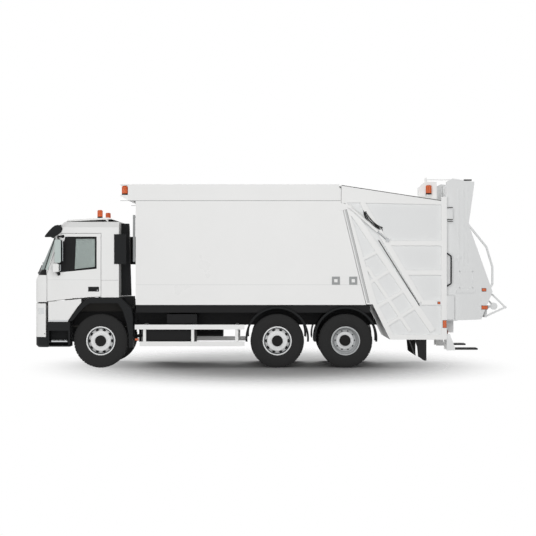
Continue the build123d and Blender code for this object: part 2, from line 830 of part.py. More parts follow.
def make_mirror():
    x0, x1 = mirror_rear_x, mirror_rear_x + mirror_depth
    outer_y = mirror_inner_y + mirror_head_width
    main = block(x0, x1, mirror_inner_y, outer_y, mirror_head_low_z, mirror_head_top_z)
    main = fillet(main.edges().filter_by(Axis.Y), mirror_depth * 0.3)
    small = block(x0 + mirror_depth * 0.35, x1 + mirror_depth * 0.3, mirror_inner_y, outer_y,
                  mirror_small_low_z, mirror_small_top_z)
    small = fillet(small.edges().filter_by(Axis.Y), mirror_depth * 0.2)
    post_x = x0 + mirror_depth * 0.6
    post_y = mirror_inner_y + mirror_head_width * 0.35
    post = rod((post_x, post_y, mirror_arm_low_z), (post_x, post_y, mirror_arm_top_z),
               mirror_arm_radius)
    pieces = [main, small, post]
    for x, z in ((post_x, mirror_arm_low_z), (mirror_foot_top_x, mirror_arm_top_z)):
        side_y = cab_side_y(z - mirror_arm_radius * 2) + seat_gap
        pieces.append(rod((x, side_y + mirror_arm_radius * 0.6, z), (post_x, post_y, z),
                          mirror_arm_radius))
        pieces.append(rod((x, side_y, z), (x, side_y + mirror_arm_radius, z),
                          mirror_arm_radius * 2))
    return joined(pieces)


nodes["mirror_left"] = make_mirror()
nodes["mirror_right"] = mirrored(nodes["mirror_left"])

# Air intake stack on the cab's rear wall, and the black deflectors beside it
stack_low_z = 1440.0
stack_top_z = 2904.0
stack_front_x = cab_rear_x - seat_gap
stack_top_depth = 150.0
stack_low_depth = 195.0
stack_inner_y = 560.0
stack_width = 200.0
deflector_low_z = 2078.0
deflector_top_z = 2676.0
deflector_front_lead = 93.0
deflector_front_x = cab_rear_x + deflector_front_lead
deflector_rear_setback = 147.0
deflector_rear_x = cab_rear_x - deflector_rear_setback
deflector_thickness = 16.0


def make_stack():
    body = side_plate([(stack_front_x, stack_low_z), (stack_front_x, stack_top_z),
                       (stack_front_x - stack_top_depth, stack_top_z),
                       (stack_front_x - stack_low_depth, stack_low_z)],
                      stack_inner_y, stack_inner_y + stack_width)
    inner_y = cab_half_width + seat_gap
    panel = block(deflector_rear_x, deflector_front_x, inner_y, inner_y + deflector_thickness,
                  deflector_low_z, deflector_top_z)
    back = block(stack_front_x - deflector_thickness, stack_front_x,
                 cab_half_width * 0.8, inner_y + deflector_thickness,
                 deflector_low_z, deflector_top_z)
    return body + pair(panel + back)


nodes["intake_stack"] = make_stack()

# Front bumper: white centre strip and corners, black valance under it
bumper_low_z = 620.0
bumper_centre_top_z = 740.0
bumper_corner_top_z = 1290.0
bumper_corner_y = 800.0
bumper_corner_rear_setback = 273.0
bumper_corner_rear_x = front_x - bumper_corner_rear_setback
bumper_wall = 45.0
valance_low_z = 414.0
valance_rear_setback = 400.0
valance_rear_x = front_x - valance_rear_setback
lamp_low_z = 890.0
lamp_top_z = 1120.0
lamp_inner_y = 870.0
lamp_outer_y = 1130.0
lamp_depth = 50.0
bracket_height = 130.0
step_front_setback = 307.0
step_front_x = front_x - step_front_setback
step_inner_y = 800.0


def front_slab(low_z, high_z, inset):
    """Full form of the cab's front outline between two levels."""
    return extrude(cab_section(low_z, *cab_section_shares[0][1:], inset),
                   amount=high_z - low_z, dir=(0, 0, 1))


def lamp_pocket(inset):
    slab = front_slab(lamp_low_z + inset, lamp_top_z - inset, inset)
    slab = slab - front_slab(lamp_low_z - overrun, lamp_top_z + overrun, lamp_depth - inset)
    return slab & block(hinge_x - overrun, front_x + overrun, lamp_inner_y + inset,
                        lamp_outer_y - inset, lamp_low_z, lamp_top_z)


def make_bumper():
    corner = front_slab(bumper_low_z, bumper_corner_top_z, 0)
    corner = corner & block(bumper_corner_rear_x, front_x + overrun, bumper_corner_y,
                            cab_half_width + overrun, bumper_low_z, bumper_corner_top_z)
    corner = corner - lamp_pocket(0)
    centre = front_slab(bumper_low_z, bumper_centre_top_z, 0)
    centre = centre - front_slab(bumper_low_z - overrun, bumper_centre_top_z + overrun,
                                 bumper_wall)
    centre = centre & block(bumper_corner_rear_x, front_x + overrun, -bumper_corner_y,
                            bumper_corner_y, bumper_low_z, bumper_centre_top_z)
    return pair(corner) + centre


def make_valance():
    slab = front_slab(valance_low_z, bumper_low_z, 0)
    slab = chamfer(slab.edges().group_by(Axis.Z)[0].filter_by(
        lambda edge: edge.center().X > hinge_x), bumper_wall)
    slab = slab & block(valance_rear_x, front_x + overrun, -cab_half_width - overrun,
                        cab_half_width + overrun, valance_low_z, bumper_low_z)
    hollow = block(valance_rear_x - overrun, hinge_x - bumper_wall, -bumper_corner_y,
                   bumper_corner_y, valance_low_z + bumper_wall, bumper_low_z + overrun)
    bracket_y = rail_outer_y - rail_flange
    bracket = block(valance_rear_x - overrun, hinge_x - bumper_wall, bracket_y, rail_outer_y,
                    bumper_low_z - bumper_wall * 3, hinge_z - bracket_height - seat_gap)
    corner = block(valance_rear_x - overrun, step_front_x + seat_gap, step_inner_y - seat_gap,
                   cab_half_width + overrun, valance_low_z - overrun, bumper_low_z + overrun)
    return slab - hollow - pair(corner) + pair(bracket)


nodes["bumper"] = make_bumper()
nodes["bumper_valance"] = make_valance()
nodes["headlamps"] = pair(lamp_pocket(seat_gap))

# Cab hinge brackets on the front of the frame, with the pins of the cab's arms
bracket_wall = 16.0


def make_hinge_brackets():
    pieces = []
    for side in (1, -1):
        centre = side * hinge_arm_y
        reach = hinge_arm_width / 2 + run_gap
        for face in (1, -1):
            y0, y1 = sorted((centre + face * reach, centre + face * (reach + bracket_wall)))
            pieces.append(side_plate([(rail_front_x, frame_low_z),
                                      (hinge_x - hinge_arm_width * 2, frame_low_z),
                                      (hinge_x + hinge_arm_width * 0.8, hinge_z + hinge_arm_width),
                                      (hinge_x + hinge_arm_width * 0.8, hinge_z - hinge_arm_width),
                                      (hinge_x - hinge_arm_width * 2.2, hinge_z - bracket_height),
                                      (rail_front_x, hinge_z - bracket_height)], y0, y1))
        pieces.append(block(rail_front_x - bracket_height * 0.68, rail_front_x,
                            centre - reach - bracket_wall, centre + reach + bracket_wall,
                            hinge_z - bracket_height, frame_low_z))
        pieces.append(rod((hinge_x, centre - reach - bracket_wall, hinge_z),
                          (hinge_x, centre + reach + bracket_wall, hinge_z),
                          hinge_pin_radius))
    return joined(pieces)


nodes["chassis_frame"] = nodes["chassis_frame"] + make_hinge_brackets()

# Front fenders: dark lip round the wheel, with a liner behind it, as shares of the tyre radius
fender_inner_y = 780.0
fender_lip_y = 1150.0
fender_outer_inset = 6.0
fender_outer_y = cab_half_width - fender_outer_inset
liner_thickness = 12.0
fender_outer_shares = ((1.190, 0.742), (1.050, 0.960), (0.830, 1.270), (0.600, 1.500),
                       (0.390, 1.602), (-0.766, 1.602), (-0.960, 1.420), (-1.150, 1.200),
                       (-1.205, 0.900), (-1.205, -0.253))
fender_inner_shares = ((1.060, 0.742), (0.930, 0.900), (0.700, 1.180), (0.500, 1.350),
                       (0.360, 1.410), (-0.650, 1.410), (-0.830, 1.150), (-0.980, 0.650),
                       (-1.060, 0.200), (-1.060, -0.253))


def fender_points(shares):
    return [(front_axle_x + tyre_radius * a, axle_z + tyre_radius * b) for a, b in shares]


# Cab steps: black box with a tread, and the white panel above it
step_rear_lead = 611.0
step_rear_x = front_axle_x + step_rear_lead
step_low_z = 424.0
step_top_z = 924.0
step_outer_inset = 10.0
step_outer_y = cab_half_width - step_outer_inset
step_tread_z = 545.0
step_tread_thickness = 40.0
step_wall = 30.0
panel_thickness = 45.0
panel_gap = 13.0
arch_front_z = 1305.0
step_post_width = 120.0


def make_steps():
    box = block(step_rear_x, step_front_x, step_inner_y, step_outer_y, step_low_z, step_top_z)
    for low, high in ((step_tread_z, step_top_z - step_wall * 6),
                      (step_low_z + step_wall, step_tread_z - step_tread_thickness)):
        box = box - block(step_rear_x + step_wall, step_front_x - step_wall,
                          step_inner_y + step_wall * 5, step_outer_y + overrun, low, high)
    post = block(step_rear_x + step_wall, step_rear_x + step_wall + step_post_width,
                 rail_outer_y, step_inner_y, frame_low_z, step_top_z)
    return pair(box + post)


def make_step_panels():
    front_x_end = step_front_x - shut_gap * 2
    rear_x_end = arch_front_x + panel_gap * 2
    rear = [(x + panel_gap, z) for x, z in fender_points(fender_outer_shares)[:3]]
    outline = [(front_x_end, step_top_z + seat_gap), (rear[0][0], step_top_z + seat_gap), *rear,
               (rear_x_end, arch_front_z),
               (rear_x_end, door_sill_level(rear_x_end) - panel_gap),
               (front_x_end, door_sill_level(front_x_end) - panel_gap)]
    return pair(side_plate(outline, step_outer_y - panel_thickness, step_outer_y))


nodes["cab_steps"] = make_steps()
nodes["step_panels"] = make_step_panels()


def make_fender():
    outer = fender_points(fender_outer_shares)
    inner = fender_points(fender_inner_shares)
    lip = side_plate(outer + list(reversed(inner)), fender_lip_y, fender_outer_y)
    liner = None
    for start, end in zip(outer, outer[1:]):
        dx, dz = end[0] - start[0], end[1] - start[1]
        length = sqrt(dx * dx + dz * dz)
        inward = (-dz / length * liner_thickness, dx / length * liner_thickness)
        strip = side_plate([start, end, (end[0] + inward[0], end[1] + inward[1]),
                            (start[0] + inward[0], start[1] + inward[1])],
                           fender_inner_y, fender_lip_y)
        liner = strip if liner is None else liner + strip
    stay_x = front_axle_x - tyre_radius * 1.205 - liner_thickness * 2
    stay_z = frame_low_z + rail_flange
    stay = rod((stay_x, rail_outer_y, stay_z), (stay_x, fender_inner_y + liner_thickness, stay_z),
               liner_thickness * 1.6)
    plate = block(stay_x - liner_thickness * 2, stay_x + liner_thickness * 2, fender_inner_y,
                  fender_inner_y + liner_thickness, stay_z - overrun, stay_z + overrun)
    return lip + liner + stay + plate


nodes["front_fenders"] = pair(make_fender())

# Rear mudguards: half rings over the pusher and the drive wheels
guard_radius = 637.0
guard_centre_rise = 51.0
guard_centre_z = axle_z + guard_centre_rise
guard_low_z = 524.0
guard_thickness = 14.0
guard_lip = 40.0
guard_tyre_cover = 17.5
guard_outer_y = pusher_track_half + tyre_width / 2 + guard_tyre_cover
guard_stay_radius = 18.0
guard_stay_x = 300.0


def make_mudguard(x, inner_y):
    def ring(radius, y0, y1):
        return rod((x, y0, guard_centre_z), (x, y1, guard_centre_z), radius)
    shell = ring(guard_radius, inner_y, guard_outer_y)
    shell = shell - ring(guard_radius - guard_thickness, inner_y - overrun,
                         guard_outer_y - guard_thickness)
    shell = shell - ring(guard_radius - guard_lip, inner_y - overrun, guard_outer_y + overrun)
    keep = block(x - guard_radius - overrun, x + guard_radius + overrun, inner_y - overrun,
                 guard_outer_y + overrun, guard_low_z, guard_centre_z + guard_radius + overrun)
    shell = shell & keep
    middle = guard_radius - guard_thickness / 2
    stay_z = guard_centre_z + sqrt(middle * middle - guard_stay_x * guard_stay_x)
    for offset in (-guard_stay_x, guard_stay_x):
        shell = shell + rod((x + offset, rail_outer_y, stay_z),
                            (x + offset, inner_y + guard_lip, stay_z), guard_stay_radius)
    return shell


nodes["rear_mudguards"] = pair(
    make_mudguard(pusher_axle_x, pusher_track_half - tyre_width / 2 - guard_lip)
    + make_mudguard(drive_axle_x, drive_track_half - twin_spacing / 2 - tyre_width / 2 - guard_lip))

for guard_x in (pusher_axle_x, drive_axle_x):
    nodes["subframe"] = nodes["subframe"] - pair(rod(
        (guard_x, rail_outer_y + guard_lip, guard_centre_z),
        (guard_x, body_half_width, guard_centre_z), guard_radius + run_gap))

# Side guards: two white rails on posts, both sides
side_rail_front_setback = 686.0
side_rail_front_x = front_axle_x - side_rail_front_setback
side_rail_rear_lead = 658.0
side_rail_rear_x = pusher_axle_x + side_rail_rear_lead
side_rail_upper_z = 768.0
side_rail_upper_height = 96.0
side_rail_lower_z = 434.0
side_rail_lower_height = 92.0
side_rail_inset = 35.0
side_rail_y = body_half_width - side_rail_inset
side_rail_thickness = 40.0
post_thickness = 30.0
post_depth = 60.0
post_shares = (0.06, 0.48, 0.94)


def make_side_guards():
    lower_front = side_rail_front_x - side_rail_upper_height
    pieces = [block(side_rail_rear_x, side_rail_front_x, side_rail_y,
                    side_rail_y + side_rail_thickness, side_rail_upper_z,
                    side_rail_upper_z + side_rail_upper_height),
              block(side_rail_rear_x, lower_front, side_rail_y,
                    side_rail_y + side_rail_thickness, side_rail_lower_z,
                    side_rail_lower_z + side_rail_lower_height)]
    for share in post_shares:
        x = side_rail_rear_x + (lower_front - side_rail_rear_x) * share
        pieces.append(block(x, x + post_depth, side_rail_y - post_thickness, side_rail_y,
                            side_rail_lower_z, frame_low_z + post_thickness))
        pieces.append(block(x, x + post_depth, rail_outer_y, side_rail_y - post_thickness,
                            frame_low_z, frame_low_z + post_thickness))
    return pair(joined(pieces))


nodes["side_guards"] = make_side_guards()

# Tanks and boxes hung on the rails: fuel tank, silencer, battery box, air tanks
tank_inner_y = rail_outer_y
tank_inset = 120.0
tank_outer_y = body_half_width - tank_inset
tank_top_z = 800.0
tank_bay_front_setback = 900.0
tank_bay_rear_lead = 1137.0
tank_bay_front_x = front_axle_x - tank_bay_front_setback
tank_bay_rear_x = pusher_axle_x + tank_bay_rear_lead
# Ends of each box as shares of the bay between the wheels, counted from its front
fuel_tank_shares = (0.664, 0.0)
battery_box_shares = (0.4, 0.0)
valve_box_shares = (0.682, 0.282)
air_tank_radius = 125.0
air_tank_pitch_share = 2.1
tank_low_z = 430.0
tank_rounding = 60.0
tank_hanger = 40.0
valve_box_low_z = 882.0
valve_box_top_z = 1070.0


def in_bay(shares):
    """Low and high x of a box in the bay between the wheels."""
    return tuple(tank_bay_front_x + (tank_bay_rear_x - tank_bay_front_x) * share
                 for share in shares)


def make_tanks():
    hanger = tank_hanger
    fuel_tank, battery_box, valve_box = map(in_bay, (fuel_tank_shares, battery_box_shares,
                                                     valve_box_shares))
    left = block(fuel_tank[0], fuel_tank[1], tank_inner_y + hanger, tank_outer_y, tank_low_z,
                 tank_top_z)
    left = fillet(left.edges().filter_by(Axis.X), tank_rounding)
    right = block(battery_box[0], battery_box[1], -tank_outer_y, -tank_inner_y - hanger,
                  tank_low_z, tank_top_z)
    pieces = [left, right]
    for x0, x1, side in ((*fuel_tank, 1), (*battery_box, -1)):
        for x in (x0 + tank_rounding * 2, x1 - tank_rounding * 3):
            y0, y1 = sorted((side * tank_inner_y, side * (tank_inner_y + hanger)))
            pieces.append(block(x, x + tank_rounding, y0, y1, tank_low_z + tank_rounding,
                                frame_low_z + rail_flange))
    air_x = tank_bay_rear_x
    air_tank_length = battery_box[0] - run_gap - air_x
    z = tank_top_z - air_tank_radius
    for row in range(2):
        y = -(tank_inner_y + air_tank_radius * (1 + air_tank_pitch_share * row) + hanger)
        pieces.append(rod((air_x, y, z), (air_x + air_tank_length, y, z), air_tank_radius))
    for share in (0.15, 0.75):
        x = air_x + air_tank_length * share
        pieces.append(block(x, x + tank_rounding, -(tank_inner_y + hanger * 2 + air_tank_radius * 4),
                            -tank_inner_y, tank_top_z - hanger, frame_low_z + hanger))
    pieces.append(block(valve_box[0], valve_box[1], rail_outer_y, tank_outer_y,
                        valve_box_low_z, valve_box_top_z))
    return joined(pieces)


nodes["tanks"] = make_tanks()

# Intake base box behind the cab, on the rails
base_box_rear_setback = 247.0
base_box_rear_x = cab_rear_x - base_box_rear_setback
base_box_front_setback = 63.0
base_box_front_x = cab_rear_x - base_box_front_setback
base_box_low_z = frame_top_z
base_box_top_z = 1424.0
nodes["tanks"] = nodes["tanks"] + block(base_box_rear_x, base_box_front_x,
                                        rail_outer_y - subframe_rail_width,
                                        stack_inner_y + stack_width, base_box_low_z,
                                        base_box_top_z)

# Load body: hollow box with a raised roof edge, open at the back
body_rear_top_lead = 3378.0
body_rear_top_x = rear_x + body_rear_top_lead
body_rear_low_lead = 2878.0
body_rear_low_x = rear_x + body_rear_low_lead
body_knee_z = 3326.0
body_wall = 60.0
body_floor_thickness = 80.0
body_groove_z = 3354.0
groove = 9.0
cap_front_lead = 154.0
cap_front_x = body_front_x + cap_front_lead
gate_gap = 8.0
hinge_h_x = body_rear_top_x - gate_gap / 2
hinge_h_drop = 38.0
hinge_h_z = body_roof_z - hinge_h_drop
hinge_h_radius = 24.0
hinge_h_pin = 12.0
hinge_relief = 45.0
ear_insets = (500.0, 380.0)
ear_width = 40.0


def inside_body(insets):
    """Places inside the body's side, from their distances inside it."""
    return tuple(body_half_width - inset for inset in insets)


ear_y = inside_body(ear_insets)


def body_side_outline(inset_front, inset_top, inset_low, reach):
    return [(body_front_x - inset_front, body_floor_z + inset_low),
            (body_front_x - inset_front, body_roof_z - inset_top),
            (body_rear_top_x - reach, body_roof_z - inset_top),
            (body_rear_top_x - reach, body_knee_z), (body_rear_low_x - reach, body_floor_z + inset_low)]


def make_body_box():
    box = side_plate(body_side_outline(0, 0, 0, 0), -body_half_width, body_half_width)
    cap = block(body_front_x, cap_front_x, -body_half_width, body_half_width,
                body_groove_z, body_roof_z)
    cap = cap - block(body_front_x, cap_front_x - body_wall, -body_half_width + body_wall,
                      body_half_width - body_wall, body_groove_z - overrun,
                      body_roof_z - body_wall)
    inner_half = body_half_width - body_wall
    inner = side_plate(body_side_outline(body_wall, body_wall, body_floor_thickness, overrun * 2),
                       -inner_half, inner_half)
    inner = inner + block(body_rear_low_x - overrun * 2, body_rear_top_x, -inner_half, inner_half,
                          body_floor_z + body_floor_thickness, body_roof_z - body_wall)
    box = box + cap - inner
    for side in (1, -1):
        y = side * body_half_width
        box = box - block(body_rear_low_x, cap_front_x + overrun, y - groove / 2, y + groove / 2,
                          body_groove_z - groove, body_groove_z)
    box = box - rod((hinge_h_x, -body_half_width - overrun, hinge_h_z),
                    (hinge_h_x, body_half_width + overrun, hinge_h_z), hinge_relief)
    for side in (1, -1):
        for start in ear_y:
            y0, y1 = sorted((side * start, side * (start + ear_width)))
            box = box + rod((hinge_h_x, y0, hinge_h_z), (hinge_h_x, y1, hinge_h_z), hinge_h_radius)
            box = box + block(hinge_h_x, body_rear_top_x + hinge_relief + groove, y0, y1,
                              hinge_h_z - hinge_h_radius, hinge_h_z + hinge_h_radius)
        box = box + rod((hinge_h_x, side * ear_y[0], hinge_h_z),
                        (hinge_h_x, side * (ear_y[1] + ear_width), hinge_h_z), hinge_h_pin)
    return box


# Tailgate lift cylinders: pinned on a bracket of the body, ends at the tailgate's side
lift_low_setback = 166.0
lift_low_z = 3226.0
lift_high_setback = 930.0
lift_high_z = 2556.0
lift_low = (body_rear_top_x - lift_low_setback, lift_low_z)
lift_high = (body_rear_top_x - lift_high_setback, lift_high_z)
lift_outset = 45.0
lift_y = body_half_width + lift_outset
lift_radius = 30.0
lift_rod_radius = 18.0
lift_eye_radius = 34.0
lift_pin_radius = 15.0
lift_boss_thickness = 3.0
bracket_plate = 8.0
bracket_pad_lead = 20.0
bracket_pad_length = 100.0
bracket_pad_x = body_rear_top_x + bracket_pad_lead
bracket_pad = (bracket_pad_x, bracket_pad_x + bracket_pad_length)
bracket_half = 80.0


def make_lift_bracket():
    plate_y = body_half_width + run_gap
    reach = lift_eye_radius
    plate = side_plate([(bracket_pad[1], lift_low[1] + bracket_half),
                        (bracket_pad[1], lift_low[1] - bracket_half),
                        (bracket_pad[0], lift_low[1] - bracket_half),
                        (lift_low[0], lift_low[1] - reach), (lift_low[0] - reach, lift_low[1]),
                        (lift_low[0], lift_low[1] + reach),
                        (bracket_pad[0], lift_low[1] + bracket_half)],
                       plate_y, plate_y + bracket_plate)
    pad = block(bracket_pad[0], bracket_pad[1], body_half_width, plate_y,
                lift_low[1] - bracket_half, lift_low[1] + bracket_half)
    pin = rod((lift_low[0], plate_y + bracket_plate, lift_low[1]),
              (lift_low[0], lift_y + lift_radius, lift_low[1]), lift_pin_radius)
    return plate + pad + pin


nodes["body_box"] = make_body_box() + pair(make_lift_bracket())


def make_lift_cylinder():
    dx, dz = lift_high[0] - lift_low[0], lift_high[1] - lift_low[1]
    length = sqrt(dx * dx + dz * dz)
    ux, uz = dx / length, dz / length

    def at(distance, y=lift_y):
        return (lift_low[0] + ux * distance, y, lift_low[1] + uz * distance)

    eye_low_y = body_half_width + run_gap + bracket_plate + seat_gap
    eye_high_y = lift_y + lift_radius
    barrel_end = length * 0.74
    barrel = rod(at(0, eye_low_y), at(0, eye_high_y), lift_eye_radius)
    barrel = barrel + rod(at(lift_eye_radius / 2), at(barrel_end), lift_radius)
    bore_start = lift_eye_radius * 2
    barrel = barrel - rod(at(bore_start), at(barrel_end + overrun), lift_rod_radius + pin_gap)
    barrel = barrel - rod(at(0, eye_low_y - overrun), at(0, eye_high_y + overrun),
                          lift_pin_radius + pin_gap)
    pad_y = body_half_width + lift_boss_thickness + seat_gap
    piston = rod(at(bore_start + groove), at(length), lift_rod_radius)
    piston = piston + rod(at(length, pad_y), at(length, eye_high_y), lift_eye_radius)
    return barrel, piston


nodes["lift_barrel_left"], nodes["lift_rod_left"] = make_lift_cylinder()
nodes["lift_barrel_right"] = mirrored(nodes["lift_barrel_left"])
nodes["lift_rod_right"] = mirrored(nodes["lift_rod_left"])

# Body fittings in grey: climbing rail on the front wall, square lamps on the side
climb_rail_lead = 35.0
climb_rail_x = body_front_x + climb_rail_lead
climb_rail_low_z = 2124.0
climb_rail_top_z = 3064.0
climb_rail_radius = 24.0
climb_rail_inset = 40.0
climb_rail_y = body_half_width - climb_rail_inset
side_lamp_size = 160.0
side_lamp_z = 1747.0
side_lamp_leads = (103.0, -244.0)
side_lamp_thickness = 18.0


def make_body_fittings():
    pieces = [rod((climb_rail_x, climb_rail_y, climb_rail_low_z),
                  (climb_rail_x, climb_rail_y, climb_rail_top_z), climb_rail_radius)]
    for z in (climb_rail_low_z + climb_rail_radius * 2, climb_rail_top_z - climb_rail_radius * 2):
        pieces.append(rod((body_front_x, climb_rail_y, z), (climb_rail_x, climb_rail_y, z),
                          climb_rail_radius * 0.8))
    for lead in side_lamp_leads:
        x = body_rear_top_x + lead
        plate = block(x - side_lamp_size / 2, x + side_lamp_size / 2, body_half_width,
                      body_half_width + side_lamp_thickness, side_lamp_z - side_lamp_size / 2,
                      side_lamp_z + side_lamp_size / 2)
        pocket = side_lamp_size * 0.26
        plate = plate - block(x - pocket, x + pocket, body_half_width + side_lamp_thickness / 2,
                              body_half_width + side_lamp_thickness * 2,
                              side_lamp_z - pocket, side_lamp_z + pocket)
        pieces.append(plate)
    return pair(joined(pieces))


nodes["body_fittings"] = make_body_fittings()

# Beacon guards on the body's front edge, with their beacons
front_guard_width = 160.0
front_guard_inset = 100.0
front_guard_y = body_half_width - front_guard_inset
front_guard_depth = 156.0
front_guard_plate = 26.0
front_beacon_lead = 72.0
front_beacon_x = cap_front_x + front_beacon_lead
front_beacon_low_z = 3466.0
front_beacon_top_z = 3655.0
front_beacon_radius = 62.0


def make_front_guard():
    y0 = front_guard_y - front_guard_width / 2
    y1 = front_guard_y + front_guard_width / 2
    low = block(cap_front_x, cap_front_x + front_guard_depth, y0, y1,
                front_beacon_low_z - front_guard_plate, front_beacon_low_z)
    high = block(cap_front_x, cap_front_x + front_guard_depth, y0, y1,
                 front_beacon_top_z + seat_gap, front_beacon_top_z + front_guard_plate)
    gusset = side_plate([(cap_front_x, body_groove_z + groove),
                         (cap_front_x, front_beacon_low_z - front_guard_plate),
                         (cap_front_x + front_guard_depth,
                          front_beacon_low_z - front_guard_plate)], y0, y1)
    return low + high + gusset


nodes["body_box"] = nodes["body_box"] + pair(make_front_guard())


def body_plate_zones():
    """Front wall over the full width, then both side walls, the floor and the roof behind it."""
    seam_x = body_front_x - body_wall
    inner_half = body_half_width - body_wall
    low_z = body_floor_z + body_floor_thickness
    top_z = body_roof_z - body_wall - groove
    return [block(seam_x, cut_reach, -cut_reach, cut_reach, 0, cut_reach),
            block(-cut_reach, seam_x, inner_half, cut_reach, 0, cut_reach),
            block(-cut_reach, seam_x, -cut_reach, -inner_half, 0, cut_reach),
            block(-cut_reach, seam_x, -inner_half, inner_half, 0, low_z),
            block(-cut_reach, seam_x, -inner_half, inner_half, top_z, cut_reach)]


# The body is welded up from flat walls, so it is kept as one plate for each of them
cut_reach = 6000.0
nodes["body_box"] = cut_into_plates(nodes["body_box"], body_plate_zones())
nodes["body_beacons"] = pair(rod((front_beacon_x, front_guard_y, front_beacon_low_z + seat_gap),
                                 (front_beacon_x, front_guard_y, front_beacon_top_z),
                                 front_beacon_radius))

# Ejector plate inside the load body, on the floor and between the side walls
ejector_rest_setback = 560.0
ejector_rest_x = body_front_x - ejector_rest_setback
ejector_thickness = 90.0
ejector_lean = 0.18
ejector_top_drop = 260.0
ejector_top_z = body_roof_z - ejector_top_drop
ejector_shoe = 130.0
ejector_side_gap = 25.0


def make_ejector():
    floor_z = body_floor_z + body_floor_thickness
    half = body_half_width - body_wall - ejector_side_gap
    height = ejector_top_z - floor_z
    lean = height * ejector_lean
    plate = side_plate([(ejector_rest_x, floor_z + ejector_side_gap),
                        (ejector_rest_x + lean, ejector_top_z),
                        (ejector_rest_x + lean + ejector_thickness, ejector_top_z),
                        (ejector_rest_x + ejector_thickness, floor_z + ejector_side_gap)],
                       -half, half)
    pieces = [plate]
    for side in (1, -1):
        y0, y1 = sorted((side * half, side * (half - ejector_shoe)))
        pieces.append(block(ejector_rest_x, ejector_rest_x + ejector_shoe * 3, y0, y1,
                            floor_z + seat_gap, floor_z + ejector_shoe))
        brace_y = side * half * 0.6
        pieces.append(side_plate([(ejector_rest_x + ejector_thickness / 2, floor_z + ejector_shoe),
                                  (ejector_rest_x + ejector_shoe * 3, floor_z + ejector_shoe),
                                  (ejector_rest_x + lean + ejector_thickness / 2,
                                   ejector_top_z - ejector_shoe)],
                                 brace_y - ejector_side_gap, brace_y + ejector_side_gap))
    return joined(pieces)


nodes["ejector"] = make_ejector()

# Tailgate: side walls with a lattice of beams, roof plate, curved hopper floor, rear frame
gate_wall = 50.0
gate_plate_inset = 50.0
gate_plate_y = body_half_width - gate_plate_inset
gate_inner_y = gate_plate_y - gate_wall
gate_front_x = body_rear_top_x - gate_gap
gate_rear_lead = 1256.0
gate_rear_x = rear_x + gate_rear_lead
gate_roof_front_drop = 14.0
gate_roof_front_z = body_roof_z - gate_roof_front_drop
gate_roof_rear_z = 3340.0
gate_low_z = 564.0
gate_toe_lead = 1138.0
gate_toe_x = gate_rear_x + gate_toe_lead
gate_heel_depth = 128.0
gate_heel_x = body_rear_low_x - gate_gap - gate_heel_depth
gate_heel_rise = 12.0
gate_heel_z = body_floor_z + gate_heel_rise
packer_pivot_lead = 717.0
packer_pivot_z = 1380.0
packer_pivot_low = (gate_rear_x + packer_pivot_lead, packer_pivot_z)
packer_travel = 950.0
packer_axis = (-0.5596, -0.8288)
hopper_radius = 667.0
load_sill_z = 1440.0
load_top_z = 2960.0
load_inset = 240.0
load_half_width = body_half_width - load_inset
post_width = 112.0
post_top_z = 3428.0


def gate_outline():
    return [(gate_front_x, gate_roof_front_z), (gate_rear_x, gate_roof_rear_z),
            (gate_rear_x, gate_low_z), (gate_toe_x, gate_low_z), (gate_heel_x, gate_heel_z),
            (body_rear_low_x - gate_gap, gate_heel_z), (gate_front_x, body_knee_z)]


def toe_line(z, inset):
    """Place on the slanted lower front plate, moved inwards by an inset."""
    rise = gate_heel_z - gate_low_z
    run = gate_heel_x - gate_toe_x
    length = sqrt(rise * rise + run * run)
    return gate_toe_x + run * (z - gate_low_z) / rise - inset * length / rise


def hopper_cavity():
    px, pz = packer_pivot_low
    inner_rear = px - hopper_radius
    floor_z = pz - hopper_radius
    roof_drop = gate_wall * 1.02
    slope = (gate_roof_rear_z - gate_roof_front_z) / (gate_rear_x - gate_front_x)
    front_reach = gate_front_x + overrun * 2
    channel_z = body_floor_z + body_floor_thickness + run_gap
    edges = [
        ThreePointArc((inner_rear, 0, pz),
                      (px - hopper_radius * cos(pi / 4), 0, pz - hopper_radius * sin(pi / 4)),
                      (px, 0, floor_z)),
        Polyline((px, 0, floor_z), (toe_line(floor_z, gate_wall), 0, floor_z),
                 (toe_line(channel_z, gate_wall), 0, channel_z),
                 (front_reach, 0, channel_z),
                 (front_reach, 0, gate_roof_front_z - roof_drop
                  + slope * (front_reach - gate_front_x)),
                 (inner_rear, 0, gate_roof_front_z - roof_drop
                  + slope * (inner_rear - gate_front_x)),
                 (inner_rear, 0, pz)),
    ]
    face = make_face(edges)
    return extrude(face, amount=gate_inner_y, dir=(0, 1, 0), both=True)


# Lattice of the tailgate's side
rib_width = 94.0
slat_width = 66.0
beam_width_side = 118.0
# Distance behind the tailgate's front edge, and height, of both ends of each slanted beam
main_beam = ((132.0, 3254.0), (1832.0, 736.0))
second_beam = ((412.0, 3320.0), (1604.0, 1324.0))
thin_beam = ((506.0, 2022.0), (1378.0, 736.0))
front_line = ((118.0, 3260.0), (694.0, 1324.0))
# Share along the front line or the toe edge, then the share along the main beam
front_slat_shares = ((0.555, 0.362), (0.798, 0.510))
toe_slat_shares = ((0.110, 0.672), (0.640, 0.806))
# Share along the second beam of each rib's front end, and the rib's height
rib_places = ((0.42, 2497.0), (0.70, 1907.0), (1.0, 1305.0))


def behind_gate_front(line):
    return [(gate_front_x - depth, z) for depth, z in line]


